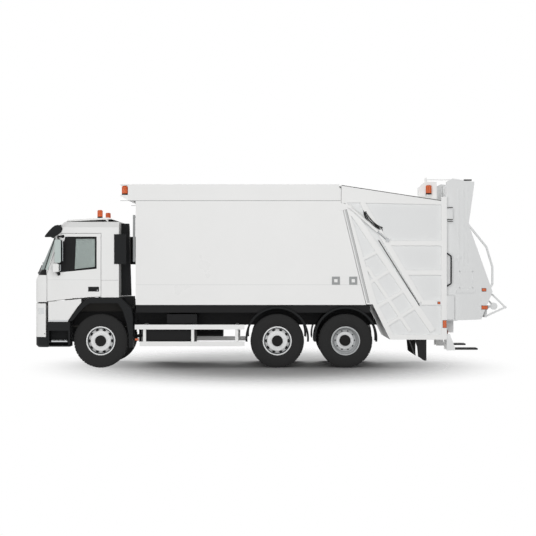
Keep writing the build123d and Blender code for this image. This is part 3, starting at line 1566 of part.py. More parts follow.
def gate_lattice():
    post_x = gate_rear_x + post_width
    top_low_front_z = body_knee_z
    main = behind_gate_front(main_beam)
    second = behind_gate_front(second_beam)
    thin = behind_gate_front(thin_beam)
    pieces = [
        side_plate([(gate_front_x, gate_roof_front_z), (gate_rear_x, gate_roof_rear_z),
                    (gate_rear_x, gate_roof_rear_z - post_width * 0.65),
                    (gate_front_x - beam_width_side, top_low_front_z - post_width * 0.1),
                    (gate_front_x, top_low_front_z)], gate_plate_y, body_half_width),
        side_plate([(gate_front_x, top_low_front_z), (body_rear_low_x - gate_gap, gate_heel_z),
                    (gate_heel_x, gate_heel_z), (gate_heel_x - slat_width, gate_heel_z + slat_width),
                    (gate_front_x - beam_width_side, top_low_front_z - post_width * 0.1)],
                   gate_plate_y, body_half_width),
        side_plate([(gate_heel_x, gate_heel_z), (gate_toe_x, gate_low_z),
                    (gate_rear_x, gate_low_z), (gate_rear_x, gate_low_z + rib_width),
                    (gate_toe_x - rib_width * 0.7, gate_low_z + rib_width),
                    (gate_heel_x - slat_width, gate_heel_z + slat_width)],
                   gate_plate_y, body_half_width),
        block(gate_rear_x, post_x, gate_plate_y, body_half_width, gate_low_z, post_top_z),
        bar_between(*main, beam_width_side, gate_plate_y, body_half_width),
        bar_between(*second, beam_width_side * 0.9, gate_plate_y, body_half_width),
        bar_between(*thin, slat_width, gate_plate_y, body_half_width),
    ]
    toe_edge = ((gate_heel_x, gate_heel_z), (gate_toe_x, gate_low_z))
    for edge, table in ((behind_gate_front(front_line), front_slat_shares),
                        (toe_edge, toe_slat_shares)):
        for low_share, high_share in table:
            pieces.append(bar_between(along(*edge, low_share), along(*main, high_share),
                                      slat_width, gate_plate_y, body_half_width))
    for share, z in rib_places:
        x = along(*second, share)[0]
        pieces.append(block(post_x, x, gate_plate_y, body_half_width, z - rib_width / 2,
                            z + rib_width / 2))
    pad = rod((lift_high[0], gate_plate_y, lift_high[1]),
              (lift_high[0], body_half_width + lift_boss_thickness, lift_high[1]),
              lift_eye_radius * 1.4)
    return joined(pieces) + pad


# Box and rod on the tailgate's roof, on the left side only
roof_box_lead = 189.0
roof_box_length = 356.0
roof_box_x = gate_rear_x + roof_box_lead
roof_box = (roof_box_x, roof_box_x + roof_box_length)
roof_box_insets = (460.0, 130.0)
roof_box_y = inside_body(roof_box_insets)
roof_box_top_z = 3736.0
roof_post_lead = 374.0
roof_post_x = gate_rear_x + roof_post_lead
roof_post_top_z = 3838.0
roof_post_radius = 22.0
roof_bar_radius = 9.0
roof_bar_z = 3798.0
roof_bar_inset = 520.0
roof_bar_y = body_half_width - roof_bar_inset
roof_bar_reach = 165.0
roof_plate = 16.0
tail_beacon_lead = 358.0
tail_beacon_x = gate_rear_x + tail_beacon_lead
tail_beacon_inset = 64.0
tail_beacon_y = body_half_width - tail_beacon_inset
tail_beacon_radius = 58.0
tail_beacon_low_z = 3472.0
tail_beacon_top_z = 3668.0
# Rider steps hinged behind the tailgate's low edge
step_hinge_setback = 145.0
step_hinge_x = gate_rear_x - step_hinge_setback
step_hinge_z = 372.0
step_hub_radius = 24.0
step_pin_radius = 12.0
step_insets = (465.0, 85.0)
step_half_inner_y, step_half_outer_y = inside_body(step_insets)
step_ear = 30.0
step_ear_gap = 5.0
step_ear_low_z = 346.0
step_plate_reach = 486.0
step_plate_thickness = 32.0


def make_tailgate():
    """Hopper shell with its roof and rear frame, and a side wall with its lattice on each side."""
    shell = side_plate(gate_outline(), -gate_plate_y, gate_plate_y) - hopper_cavity()
    shell = shell - block(gate_rear_x - overrun, gate_rear_x + gate_wall * 2,
                          -load_half_width, load_half_width, load_sill_z, load_top_z)
    ears = None
    for side in (1, -1):
        y0, y1 = sorted((side * (ear_y[0] - gate_gap),
                         side * (ear_y[1] + ear_width + gate_gap)))
        shell = shell - rod((hinge_h_x, y0, hinge_h_z), (hinge_h_x, y1, hinge_h_z),
                            hinge_h_radius + gate_gap)
        lug_low = ear_y[0] + ear_width + run_gap
        lug_high = ear_y[1] - run_gap
        y0, y1 = sorted((side * lug_low, side * lug_high))
        lug = rod((hinge_h_x, y0, hinge_h_z), (hinge_h_x, y1, hinge_h_z), hinge_h_radius)
        lug = lug + block(hinge_h_x - hinge_h_radius - gate_gap * 3, hinge_h_x, y0, y1,
                          hinge_h_z - hinge_h_radius, hinge_h_z + gate_gap)
        lug = lug - rod((hinge_h_x, y0 - overrun, hinge_h_z), (hinge_h_x, y1 + overrun, hinge_h_z),
                        hinge_h_pin + pin_gap)
        ears = lug if ears is None else ears + lug
    box = block(roof_box[0], roof_box[1], roof_box_y[0], roof_box_y[1],
                gate_roof_rear_z - gate_wall / 2, roof_box_top_z)
    box = chamfer(box.edges().filter_by(Axis.Y).group_by(Axis.Z)[-1].group_by(Axis.X)[-1],
                  post_width)
    box = box + block(tail_beacon_x - tail_beacon_radius, tail_beacon_x + tail_beacon_radius,
                      roof_box_y[1], tail_beacon_y + tail_beacon_radius,
                      tail_beacon_low_z - roof_plate, tail_beacon_low_z)
    box = box + rod((roof_post_x, roof_bar_y, gate_roof_rear_z),
                    (roof_post_x, roof_bar_y, roof_post_top_z), roof_post_radius)
    box = box + rod((roof_post_x, roof_bar_y, roof_bar_z),
                    (gate_rear_x - roof_bar_reach, roof_bar_y, roof_bar_z), roof_bar_radius)
    step_hinge = rod((step_hinge_x, step_half_inner_y - step_ear_gap, step_hinge_z),
                     (step_hinge_x, step_half_outer_y + step_ear_gap, step_hinge_z),
                     step_pin_radius)
    for y in (step_half_inner_y - step_ear_gap - step_ear, step_half_outer_y + step_ear_gap):
        ear = side_plate([(gate_rear_x, gate_low_z + post_width), (gate_rear_x, step_ear_low_z),
                          (step_hinge_x - step_hub_radius, step_ear_low_z),
                          (step_hinge_x - step_hub_radius, step_hinge_z + step_hub_radius),
                          (gate_rear_x - post_width * 0.6, gate_low_z + post_width)],
                         y, y + step_ear)
        step_hinge = step_hinge + ear
    side_zone = block(-cut_reach, cut_reach, gate_inner_y, cut_reach, 0, cut_reach)
    middle_zone = block(-cut_reach, cut_reach, -gate_inner_y, gate_inner_y, 0, cut_reach)
    side = (shell & side_zone) + gate_lattice()
    middle = (shell & middle_zone) + ears + box + pair(step_hinge)
    return Compound([*middle.solids(), *side.solids(), *mirrored(side).solids()])


nodes["tailgate"] = make_tailgate()

# Packer carriage: a slanted plate that slides along the tailgate's side walls
packer_rest = (packer_pivot_low[0] - packer_travel * packer_axis[0],
               packer_pivot_low[1] - packer_travel * packer_axis[1])
carriage_start = 75.0
carriage_length = 900.0
carriage_thickness = 170.0
carriage_side_gap = 15.0
carriage_half_width = gate_inner_y - carriage_side_gap
shoe_length = 140.0
packer_pin_radius = 30.0
packer_hub_radius = 60.0
packer_ear_insets = (60.0, 20.0)
packer_ear_y = tuple(gate_inner_y - inset for inset in packer_ear_insets)
packer_pin_length = 55.0


def packer_point(up, out):
    """Place at a distance up the slide and out to the rear of the packer's pivot."""
    ux, uz = -packer_axis[0], -packer_axis[1]
    return (packer_rest[0] + ux * up - uz * out, packer_rest[1] + uz * up + ux * out)


def packer_bar(low, high, half, y0, y1):
    return side_plate([packer_point(low, half), packer_point(high, half),
                       packer_point(high, -half), packer_point(low, -half)], y0, y1)


def make_carriage():
    half = carriage_thickness / 2
    top = carriage_start + carriage_length
    carriage = packer_bar(carriage_start, top, half, -carriage_half_width, carriage_half_width)
    carriage = carriage - packer_bar(carriage_start + half, top - half, half * 0.5,
                                     -carriage_half_width - overrun,
                                     -carriage_half_width + overrun * 2)
    carriage = carriage - packer_bar(carriage_start + half, top - half, half * 0.5,
                                     carriage_half_width - overrun * 2,
                                     carriage_half_width + overrun)
    pieces = []
    for low in (carriage_start, top - shoe_length):
        pieces.append(packer_bar(low, low + shoe_length, half * 0.8, carriage_half_width - overrun,
                                 gate_inner_y - seat_gap))
    px, pz = packer_rest
    pieces.append(packer_bar(0, carriage_start + half, packer_hub_radius, *packer_ear_y))
    pieces.append(rod((px, packer_ear_y[0], pz), (px, packer_ear_y[1], pz), packer_hub_radius))
    pieces.append(rod((px, packer_ear_y[0] - packer_pin_length, pz), (px, packer_ear_y[0], pz),
                      packer_pin_radius))
    return carriage + pair(joined(pieces))


nodes["packer_carriage"] = make_carriage()

# Packer blade: hub and plate, hinged at the carriage's low edge
blade_direction = (0.17, -0.9854)
blade_length = 620.0
blade_side_gap = 20.0
blade_hub_half_width = packer_ear_y[0] - run_gap
blade_plate_half_width = gate_inner_y - blade_side_gap
blade_shoulder = 210.0


def blade_point(reach, out):
    dx, dz = blade_direction
    return (packer_rest[0] + dx * reach + dz * out, packer_rest[1] + dz * reach - dx * out)


def make_blade():
    px, pz = packer_rest
    neck = side_plate([blade_point(0, packer_hub_radius),
                       blade_point(blade_shoulder, packer_hub_radius * 0.9),
                       blade_point(blade_shoulder, -packer_hub_radius * 0.9),
                       blade_point(0, -packer_hub_radius)],
                      -blade_hub_half_width, blade_hub_half_width)
    plate = side_plate([blade_point(blade_shoulder, packer_hub_radius * 0.9),
                        blade_point(blade_length, packer_hub_radius * 0.4),
                        blade_point(blade_length, -packer_hub_radius * 0.4),
                        blade_point(blade_shoulder, -packer_hub_radius * 0.9)],
                       -blade_plate_half_width, blade_plate_half_width)
    hub = rod((px, -blade_hub_half_width, pz), (px, blade_hub_half_width, pz), packer_hub_radius)
    bore = rod((px, blade_hub_half_width - packer_pin_length, pz),
               (px, blade_hub_half_width + overrun, pz), packer_pin_radius + pin_gap)
    return neck + plate + hub - pair(bore)


nodes["packer_blade"] = make_blade()

# Lifter frame on the tailgate's rear: side walls, housings, lip, pivot shaft, guard hoops
frame_wall_insets = (200.0, 140.0)
frame_wall_y = inside_body(frame_wall_insets)
# Distance behind the tailgate and height of the side wall's corners
frame_wall_points = ((seat_gap, 3730.0), (130.0, 3802.0), (575.0, 3736.0), (455.0, 2878.0),
                     (937.0, 1526.0), (709.0, 964.0), (seat_gap, 936.0))
# Distance behind the tailgate and height of the guard hoop's corners
guard_hoop_points = ((425.0, 2906.0), (815.0, 2424.0), (937.0, 2024.0), (937.0, 1674.0),
                     (860.0, 1560.0))
guard_hoop_radius = 22.0
guard_hoop_bend = 90.0
housing_depth = (160.0, 525.0)
housing_low_z = 3450.0
housing_top_z = 3740.0
lip_depth = 235.0
lip_low_z = 936.0
lip_top_z = 1400.0
apron_depth = 200.0
apron_low_z = 684.0
apron_half_width = load_half_width * 2 / 3
hinge_box_depth = 120.0
hinge_box_z = (2986.0, 3186.0)
side_box_depth = 146.0
side_box_z = (964.0, 1446.0)
side_box_inset = 20.0
side_box_y = body_half_width - side_box_inset
comb_pivot_reach = 374.5
comb_pivot_z = 1800.0
comb_pivot = (gate_rear_x - comb_pivot_reach, comb_pivot_z)
comb_shaft_radius = 45.0


def make_lifter_frame():
    back_x = gate_rear_x - seat_gap
    wall = side_plate([(gate_rear_x - depth, z) for depth, z in frame_wall_points], *frame_wall_y)
    hoop_y = (frame_wall_y[0] + frame_wall_y[1]) / 2
    wall = wall + bent_tube([(gate_rear_x - depth, hoop_y, z) for depth, z in guard_hoop_points],
                            guard_hoop_radius, guard_hoop_bend)
    wall = wall + block(gate_rear_x - hinge_box_depth, back_x, frame_wall_y[1], side_box_y,
                        *hinge_box_z)
    wall = wall + block(gate_rear_x - side_box_depth, back_x, frame_wall_y[1], side_box_y,
                        *side_box_z)
    frame = pair(wall)
    inner = frame_wall_y[0]
    frame = frame + block(gate_rear_x - housing_depth[1], gate_rear_x - housing_depth[0],
                          -inner, inner, housing_low_z, housing_top_z)
    frame = frame + block(gate_rear_x - lip_depth, back_x, -inner, inner, lip_low_z, lip_top_z)
    frame = frame + block(gate_rear_x - apron_depth, back_x, -apron_half_width, apron_half_width,
                          apron_low_z, lip_low_z)
    x, z = comb_pivot
    return frame + rod((x, -inner, z), (x, inner, z), comb_shaft_radius)


nodes["lifter_frame"] = make_lifter_frame()

# Bin comb: arms, plate with teeth and side hoops, turning about the lifter's shaft
comb_hub_radius = 80.0
comb_arm_insets = (700.0, 600.0)
comb_arm_y = inside_body(comb_arm_insets)
comb_plate_setback = 805.0
comb_plate_x = gate_rear_x - comb_plate_setback
comb_plate_thickness = 50.0
comb_plate_z = (1000.0, 1500.0)
comb_side_gap = 125.0
comb_half_width = load_half_width - comb_side_gap
comb_tooth_count = 9
comb_tooth_width = 60.0
comb_tooth_height = 90.0
comb_hoop_thickness = 30.0
comb_hoop_y = (comb_half_width - comb_hoop_thickness, comb_half_width)
comb_hoop_width = 36.0
comb_disc_radius = 72.0
comb_disc_setback = 996.0
comb_disc_x = gate_rear_x - comb_disc_setback
comb_disc_z = 1224.0
# Distance behind the tailgate, and height, of the hoop's outer corners
comb_hoop_top_reach = 963.0
comb_hoop_tip = (1228.0, 1204.0)
comb_hoop_low_reach = 868.0


def make_comb():
    x, z = comb_pivot
    back_x = comb_plate_x - comb_plate_thickness
    comb = block(back_x, comb_plate_x, -comb_half_width, comb_half_width, *comb_plate_z)
    pitch = comb_half_width * 2 / comb_tooth_count
    for index in range(comb_tooth_count):
        y = -comb_half_width + pitch * (index + 0.5)
        comb = comb + side_plate([(back_x - comb_plate_thickness, comb_plate_z[1] + comb_tooth_height),
                                  (back_x, comb_plate_z[1]),
                                  (comb_plate_x, comb_plate_z[1] - comb_plate_thickness),
                                  (back_x, comb_plate_z[1] - comb_tooth_height),
                                  (back_x - comb_plate_thickness * 0.6, comb_plate_z[1])],
                                 y - comb_tooth_width / 2, y + comb_tooth_width / 2)
    sides = bar_between((x, z), (comb_plate_x - comb_plate_thickness / 2,
                                 comb_plate_z[1] - comb_hub_radius),
                        comb_hub_radius * 1.3, *comb_arm_y)
    sides = sides + rod((x, comb_arm_y[0], z), (x, comb_arm_y[1], z), comb_hub_radius)
    corners = [(back_x + comb_hoop_width / 2, comb_plate_z[1] - comb_hoop_width),
               (gate_rear_x - comb_hoop_top_reach, comb_plate_z[1] - comb_hoop_width),
               (gate_rear_x - comb_hoop_tip[0], comb_hoop_tip[1]),
               (gate_rear_x - comb_hoop_low_reach, comb_plate_z[0] + comb_hoop_width),
               (back_x + comb_hoop_width / 2, comb_plate_z[0] + comb_hoop_width)]
    for start, end in zip(corners, corners[1:]):
        sides = sides + bar_between(start, end, comb_hoop_width, *comb_hoop_y)
    tip = corners[2]
    tip_radius = tip[0] - rear_x
    sides = sides + rod((tip[0], comb_hoop_y[0], tip[1]), (tip[0], comb_hoop_y[1], tip[1]),
                        tip_radius)
    sides = sides + bar_between((back_x, comb_disc_z), (comb_disc_x, comb_disc_z),
                                comb_hoop_width, *comb_hoop_y)
    sides = sides + rod((comb_disc_x, comb_hoop_y[0] - run_gap, comb_disc_z),
                        (comb_disc_x, comb_hoop_y[1] + run_gap, comb_disc_z), comb_disc_radius)
    bore = rod((x, comb_arm_y[0] - overrun, z), (x, comb_arm_y[1] + overrun, z),
               comb_shaft_radius + pin_gap)
    return comb + pair(sides) - pair(bore)


nodes["bin_comb"] = make_comb()


def make_rider_step():
    x, z = step_hinge_x, step_hinge_z
    plate = block(x - step_plate_reach, x, step_half_inner_y, step_half_outer_y,
                  z - step_plate_thickness / 2, z + step_plate_thickness / 2)
    plate = plate + rod((x, step_half_inner_y, z), (x, step_half_outer_y, z), step_hub_radius)
    bore = rod((x, step_half_inner_y - overrun, z), (x, step_half_outer_y + overrun, z),
               step_pin_radius + pin_gap)
    return plate - bore


nodes["rider_step_left"] = make_rider_step()
nodes["rider_step_right"] = mirrored(nodes["rider_step_left"])

# Tail lamps of the tailgate, and the beacon on its roof
tail_lamp_depth = 34.0
tail_lamp_insets = (425.0, 95.0)
tail_lamp_y = inside_body(tail_lamp_insets)
tail_lamp_z = (600.0, 760.0)


def make_tail_lights():
    lamp = block(gate_rear_x - tail_lamp_depth, gate_rear_x - seat_gap, *tail_lamp_y, *tail_lamp_z)
    light = rod((tail_beacon_x, tail_beacon_y, tail_beacon_low_z + seat_gap),
                (tail_beacon_x, tail_beacon_y, tail_beacon_top_z), tail_beacon_radius)
    return pair(lamp) + light


nodes["tail_lights"] = make_tail_lights()

# Grab rails on the tailgate's rear posts
grab_rail_inset = 25.0
grab_rail_y = body_half_width - grab_rail_inset
grab_rail_radius = 15.0
grab_rail_bend = 40.0
# Distance behind the tailgate and height of the rail's corners
grab_rail_points = ((-30.0, 2318.0), (88.0, 2236.0), (88.0, 1686.0), (-30.0, 1616.0))


def make_grab_rail():
    rail = bent_tube([(gate_rear_x - depth, grab_rail_y, z) for depth, z in grab_rail_points],
                     grab_rail_radius, grab_rail_bend)
    return rail - block(gate_rear_x - seat_gap, gate_rear_x + overrun, gate_plate_y,
                        body_half_width + overrun, gate_heel_z, gate_roof_rear_z)


# Mud flaps under the tailgate
flap_front_lead = 605.0
flap_front_x = gate_rear_x + flap_front_lead
flap_rear_lead = 402.0
flap_rear_x = gate_rear_x + flap_rear_lead
flap_low_z = 140.0
flap_toe_setback = 33.0
flap_toe_z = 224.0
flap_insets = (560.0, 80.0)
flap_y = inside_body(flap_insets)
flap_thickness = 12.0


def make_mud_flap():
    top_z = gate_low_z - seat_gap
    flap = side_plate([(flap_front_x, top_z), (flap_front_x - flap_thickness, top_z),
                       (flap_rear_x + flap_thickness * 3, flap_low_z),
                       (flap_rear_x + flap_thickness * 4, flap_low_z)], *flap_y)
    cheek = side_plate([(flap_front_x, top_z), (flap_rear_x, top_z), (flap_rear_x, flap_low_z),
                        (flap_rear_x + flap_thickness * 4, flap_low_z),
                        (flap_front_x - flap_toe_setback, flap_toe_z)],
                       flap_y[1], flap_y[1] + flap_thickness)
    return flap + cheek


nodes["grab_rails"] = pair(make_grab_rail())
nodes["mud_flaps"] = pair(make_mud_flap())


def write_parts():
    """One STEP file for each node."""
    os.makedirs("parts", exist_ok=True)
    for name, shape in nodes.items():
        export_step(shape, "parts/" + name + ".step")


write_parts()
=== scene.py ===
import json
import math

import bmesh
import bpy
from mathutils import Matrix, Vector


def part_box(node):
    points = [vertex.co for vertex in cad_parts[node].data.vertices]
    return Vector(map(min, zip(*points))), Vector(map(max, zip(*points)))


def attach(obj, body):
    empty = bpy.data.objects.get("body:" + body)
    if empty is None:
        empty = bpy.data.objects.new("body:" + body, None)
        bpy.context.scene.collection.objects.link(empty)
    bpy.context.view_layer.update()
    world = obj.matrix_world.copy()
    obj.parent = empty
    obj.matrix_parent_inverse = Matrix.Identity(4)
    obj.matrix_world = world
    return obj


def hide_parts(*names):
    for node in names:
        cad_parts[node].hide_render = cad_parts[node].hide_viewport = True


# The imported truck: every CAD node is loaded at its real place, and the sections below give it
# paint, rubber, glass and the small pieces that its solids leave out. Sizes are in metres.
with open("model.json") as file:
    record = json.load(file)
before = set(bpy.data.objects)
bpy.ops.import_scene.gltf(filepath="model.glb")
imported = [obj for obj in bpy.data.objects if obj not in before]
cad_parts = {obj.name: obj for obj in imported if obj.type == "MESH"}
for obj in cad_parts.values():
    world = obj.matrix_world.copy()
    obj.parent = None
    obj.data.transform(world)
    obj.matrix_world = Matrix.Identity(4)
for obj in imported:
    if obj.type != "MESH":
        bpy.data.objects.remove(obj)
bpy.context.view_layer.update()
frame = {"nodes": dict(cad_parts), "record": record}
for scene_object in [o for o in bpy.data.objects if o.type in {"CAMERA", "LIGHT"}]:
    bpy.data.objects.remove(scene_object)
cad = frame["nodes"]
slots = {part["node"]: part["material_slot"] for part in frame["record"]["subparts"]}


# Sprayed coachwork enamel: two-pack paint on sheet steel, smooth and glossy, with a trace of
# road film that varies its tone and gloss over about a metre.
def hex_colour(code):
    """An sRGB hex value as the linear colour that the sockets hold."""
    channels = [int(code[start:start + 2], 16) / 255 for start in (0, 2, 4)]
    linear = [c / 12.92 if c <= 0.04045 else ((c + 0.055) / 1.055) ** 2.4 for c in channels]
    return (*linear, 1.0)


def add_node(owner, kind, settings, links):
    """One node with its settings, and links into it given as socket name or number to output."""
    node = owner.node_tree.nodes.new(kind)
    for name, value in settings.items():
        if isinstance(name, int) or name in node.inputs:
            node.inputs[name].default_value = value
        else:
            setattr(node, name, value)
    for name, output in links.items():
        owner.node_tree.links.new(output, node.inputs[name])
    return node


def finish_of(name, colour, roughness, **sockets):
    """A material whose plain values stand on the shader's own sockets."""
    material = bpy.data.materials.new(name)
    material.use_nodes = True
    shader = material.node_tree.nodes["Principled BSDF"]
    shader.inputs["Base Color"].default_value = hex_colour(colour)
    shader.inputs["Roughness"].default_value = roughness
    for socket, value in sockets.items():
        shader.inputs[socket.replace("_", " ")].default_value = value
    return material


film_patch_mm = 900
film_spread = {"From Min": 0.3, "From Max": 0.7}
dull_share, wet_share = 1.25, 0.85
# The Mix node's colour sockets share their names with its number sockets, so they go by number
mix_first, mix_second, mix_result = 6, 7, 2


def sprayed_enamel(name, colour, roughness, film):
    material = finish_of(name, colour, roughness, IOR=1.5)
    tree = material.node_tree
    shader = tree.nodes["Principled BSDF"]
    place = add_node(material, "ShaderNodeTexCoord", {}, {})
    road_film = add_node(material, "ShaderNodeTexNoise",
                         {"Scale": 1000 / film_patch_mm, "Detail": 5.0},
                         {"Vector": place.outputs["Object"]})
    tone = add_node(material, "ShaderNodeMapRange",
                    {**film_spread, "To Min": 1.0 - film, "To Max": 1.0},
                    {"Value": road_film.outputs["Fac"]})
    tint = add_node(material, "ShaderNodeMix",
                    {"data_type": "RGBA", "blend_type": "MULTIPLY", "Factor": 1.0,
                     mix_first: hex_colour(colour)}, {mix_second: tone.outputs["Result"]})
    tree.links.new(tint.outputs[mix_result], shader.inputs["Base Color"])
    gloss = add_node(material, "ShaderNodeMapRange",
                     {**film_spread, "To Min": roughness * wet_share,
                      "To Max": roughness * dull_share}, {"Value": road_film.outputs["Fac"]})
    tree.links.new(gloss.outputs["Result"], shader.inputs["Roughness"])
    return material


white_enamel = sprayed_enamel("white_enamel", "EDEDEC", 0.32, 0.03)
grey_enamel = sprayed_enamel("light_grey_enamel", "DFE0E0", 0.36, 0.04)
fitting_enamel = sprayed_enamel("grey_enamel", "9A9C9C", 0.40, 0.06)

# Black chassis paint and grained mouldings: thick satin paint on rolled steel, and ABS moulded
# with a fine matt grain that breaks up its shine. The real grain is about a millimetre; it is
# drawn at 4 to 12 mm, as bump only, so that it shows at all.
bump_strength = 0.25


def grained_black(name, colour, roughness, grain_mm, height):
    material = finish_of(name, colour, roughness, Specular_IOR_Level=0.25)
    place = add_node(material, "ShaderNodeTexCoord", {}, {})
    grain = add_node(material, "ShaderNodeTexNoise", {"Scale": 1000 / grain_mm, "Detail": 2.0},
                     {"Vector": place.outputs["Object"]})
    bump = add_node(material, "ShaderNodeBump", {"Strength": bump_strength, "Distance": height},
                    {"Height": grain.outputs["Fac"]})
    shader = material.node_tree.nodes["Principled BSDF"]
    material.node_tree.links.new(bump.outputs["Normal"], shader.inputs["Normal"])
    return material


chassis_paint = grained_black("chassis_paint", "141415", 0.50, 12.0, 0.0006)
moulded_black = grained_black("moulded_black_abs", "161718", 0.56, 6.0, 0.0004)
moulded_grey = grained_black("moulded_grey_abs", "3C3E40", 0.60, 4.0, 0.0003)
iron_casting = grained_black("cast_iron", "3A3937", 0.62, 9.0, 0.0012)

# Metals: hard chrome on the cylinder rods, which mirrors the sky, bare steel worn bright by
# rubbish, and spun aluminium with a soft sheen.
chrome_plate = finish_of("hard_chrome", "C2C4C6", 0.16, Metallic=1.0)
worn_steel = finish_of("worn_steel", "8D8B87", 0.38, Metallic=1.0)
spun_aluminium = finish_of("spun_aluminium", "B4B6B8", 0.32, Metallic=1.0)

# Glass and lamp lenses: float glass with a faint green tint for the cab, and cast acrylic for
# lamps and beacons, coloured through and only a little see-through.
cab_glass = finish_of("tinted_glass", "B9C5C1", 0.03, IOR=1.52, Transmission_Weight=0.5)
clear_acrylic = finish_of("clear_acrylic", "E8EAEC", 0.08, IOR=1.49, Transmission_Weight=0.35)
orange_acrylic = finish_of("orange_acrylic", "D9622A", 0.18, IOR=1.49, Transmission_Weight=0.15)
red_acrylic = finish_of("red_acrylic", "9C1712", 0.16, IOR=1.49, Transmission_Weight=0.1)

# Wheels and flaps: silver paint on pressed steel, a darker grey on the drive wheels, and matt
# black rubber for tyres and mud flaps.
wheel_silver = finish_of("silver_wheel_paint", "DEDFDF", 0.34, Metallic=0.2)
wheel_grey = finish_of("grey_wheel_paint", "B2B4B5", 0.42, Metallic=0.2)
flap_rubber = finish_of("flap_rubber", "151515", 0.75)
tyre_rubber = finish_of("tyre_rubber", "2B2B2B", 0.85, Specular_IOR_Level=0.25)

slot_finishes = {
    "white_paint": white_enamel, "light_grey_paint": grey_enamel,
    "grey_fittings": fitting_enamel, "chassis_black": chassis_paint,
    "dark_plastic": moulded_black, "wheel_silver": wheel_silver, "wheel_grey": wheel_grey,
    "tyre_rubber": tyre_rubber, "flap_rubber": flap_rubber, "glass": cab_glass,
    "lamp_lens": clear_acrylic, "orange_lens": orange_acrylic, "red_lens": red_acrylic,
    "steel": worn_steel, "chrome_rod": chrome_plate, "engine_iron": iron_casting,
    "tank_metal": spun_aluminium, "interior_grey": moulded_grey,
}
for node_name, node_object in cad.items():
    node_object.data.materials.clear()
    node_object.data.materials.append(slot_finishes[slots[node_name]])

# Painted fittings: the tanks and boxes between the side rails are sprayed in chassis black, and
# the tailgate's recessed side sheets get a light grey against its white beams, as painted shade.
own_paints = {"tanks": chassis_paint, "rider_step_left": chassis_paint,
              "rider_step_right": chassis_paint, "roof_bar": white_enamel,
              "lift_barrel_left": white_enamel, "lift_barrel_right": white_enamel,
              "bin_comb": grey_enamel}
for node_name, paint in own_paints.items():
    cad[node_name].data.materials[0] = paint


def repaint(node_name, finish, chosen):
    """Gives the chosen faces of a CAD node another finish."""
    mesh = cad[node_name].data
    mesh.materials.append(finish)
    index = len(mesh.materials) - 1
    for face in mesh.polygons:
        if chosen(face.center, face.normal):
            face.material_index = index


# Painted shade: the tailgate's recessed side sheets are painted a light grey, darker than its
# white beams, for the shade that falls in the recesses.
recess_painted_shade = sprayed_enamel("recess_painted_shade", "E3E4E4", 0.40, 0.03)
recess_y = 1.150
recess_margin = 0.004
straight_out = 0.9
repaint("tailgate", recess_painted_shade, lambda middle, facing: abs(abs(middle.y) - recess_y)
        < recess_margin and abs(facing.y) > straight_out)


# Tyres: black rubber moulded with a groove pattern. Each section is drawn once and spun
# round the axle, then the tread blocks are raised from the groove floor.
def new_piece(name, body, material, shape, replaced=()):
    """Puts a finished bmesh into the scene as a piece that rides on a body."""
    mesh = bpy.data.meshes.new(name)
    shape.to_mesh(mesh)
    shape.free()
    mesh.materials.append(material)
    piece = bpy.data.objects.new(name, mesh)
    bpy.context.scene.collection.objects.link(piece)
    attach(piece, body)
    if replaced:
        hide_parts(*replaced)
    return piece


def join_into(shape, part):
    """Adds a finished bmesh to another one."""
    mesh = bpy.data.meshes.new("joined")
    part.to_mesh(mesh)
    part.free()
    shape.from_mesh(mesh)
    bpy.data.meshes.remove(mesh)


def spin_section(shape, section, centre, steps, closed=False):
    """Spins a line of (across, radius) places about the axle at a centre."""
    corners = [shape.verts.new((centre[0], centre[1] + across, centre[2] + radius))
               for across, radius in section]
    following = corners[1:] + corners[:1] if closed else corners[1:]
    edges = [shape.edges.new(pair) for pair in zip(corners, following)]
    bmesh.ops.spin(shape, geom=corners + edges, cent=centre, axis=(0, 1, 0),
                   dvec=(0, 0, 0), angle=math.tau, steps=steps, use_merge=True)


tyre_radius = 0.538
groove_depth = 0.013
tyre_steps = 216
floor_radius = tyre_radius - groove_depth
floor_margin = 0.004
# Across the tyre and out from the axle, from the inner bead over the crown to the outer one
tyre_half_section = ((0.108, 0.284), (0.122, 0.290), (0.140, 0.318), (0.152, 0.365),
                     (0.1543, 0.410), (0.152, 0.455), (0.146, 0.490), (0.138, 0.512))
rib_edges = (-0.132, -0.086, -0.077, -0.032, -0.023, 0.023, 0.032, 0.077, 0.086, 0.132)
# Each rib is cut across once in so many steps
rib_cuts = (4, 6, 8, 6, 4)


def tread_blocks(shape):
    """Raises the rib faces between the cuts from the groove floor to the crown."""
    raised = []
    for face in shape.faces:
        middle = face.calc_center_median()
        if math.hypot(middle.x, middle.z) < floor_radius - floor_margin:
            continue
        step = int((math.atan2(middle.x, middle.z) % math.tau) / math.tau * tyre_steps)
        for inner, outer, cut in zip(rib_edges[::2], rib_edges[1::2], rib_cuts):
            if inner < middle.y < outer and step % cut:
                raised.append(face)
    grown = bmesh.ops.extrude_face_region(shape, geom=raised)
    for vert in [item for item in grown["geom"] if isinstance(item, bmesh.types.BMVert)]:
        vert.co += Vector((vert.co.x, 0, vert.co.z)).normalized() * groove_depth
    bmesh.ops.delete(shape, geom=raised, context="FACES")


def moulded_tyre(shape, centre):
    part = bmesh.new()
    left = [(-across, radius) for across, radius in tyre_half_section]
    crown = [(across, floor_radius) for across in rib_edges]
    spin_section(part, left + crown + list(reversed(tyre_half_section)), (0, 0, 0), tyre_steps)
    tread_blocks(part)
    bmesh.ops.recalc_face_normals(part, faces=part.faces)
    bmesh.ops.translate(part, verts=part.verts, vec=centre)
    join_into(shape, part)


twin_spacing = 0.345
for axle in ("front", "pusher", "drive"):
    for side in ("left", "right"):
        low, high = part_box(f"tyre_{axle}_{side}")
        middle = (low + high) / 2
        offsets = (-twin_spacing / 2, twin_spacing / 2) if axle == "drive" else (0,)
        shape = bmesh.new()
        for offset in offsets:
            moulded_tyre(shape, (middle.x, middle.y + offset, tyre_radius))
        new_piece(f"moulded_tyre_{axle}_{side}", f"wheel_{axle}_{side}",
                  tyre_rubber, shape, [f"tyre_{axle}_{side}"])
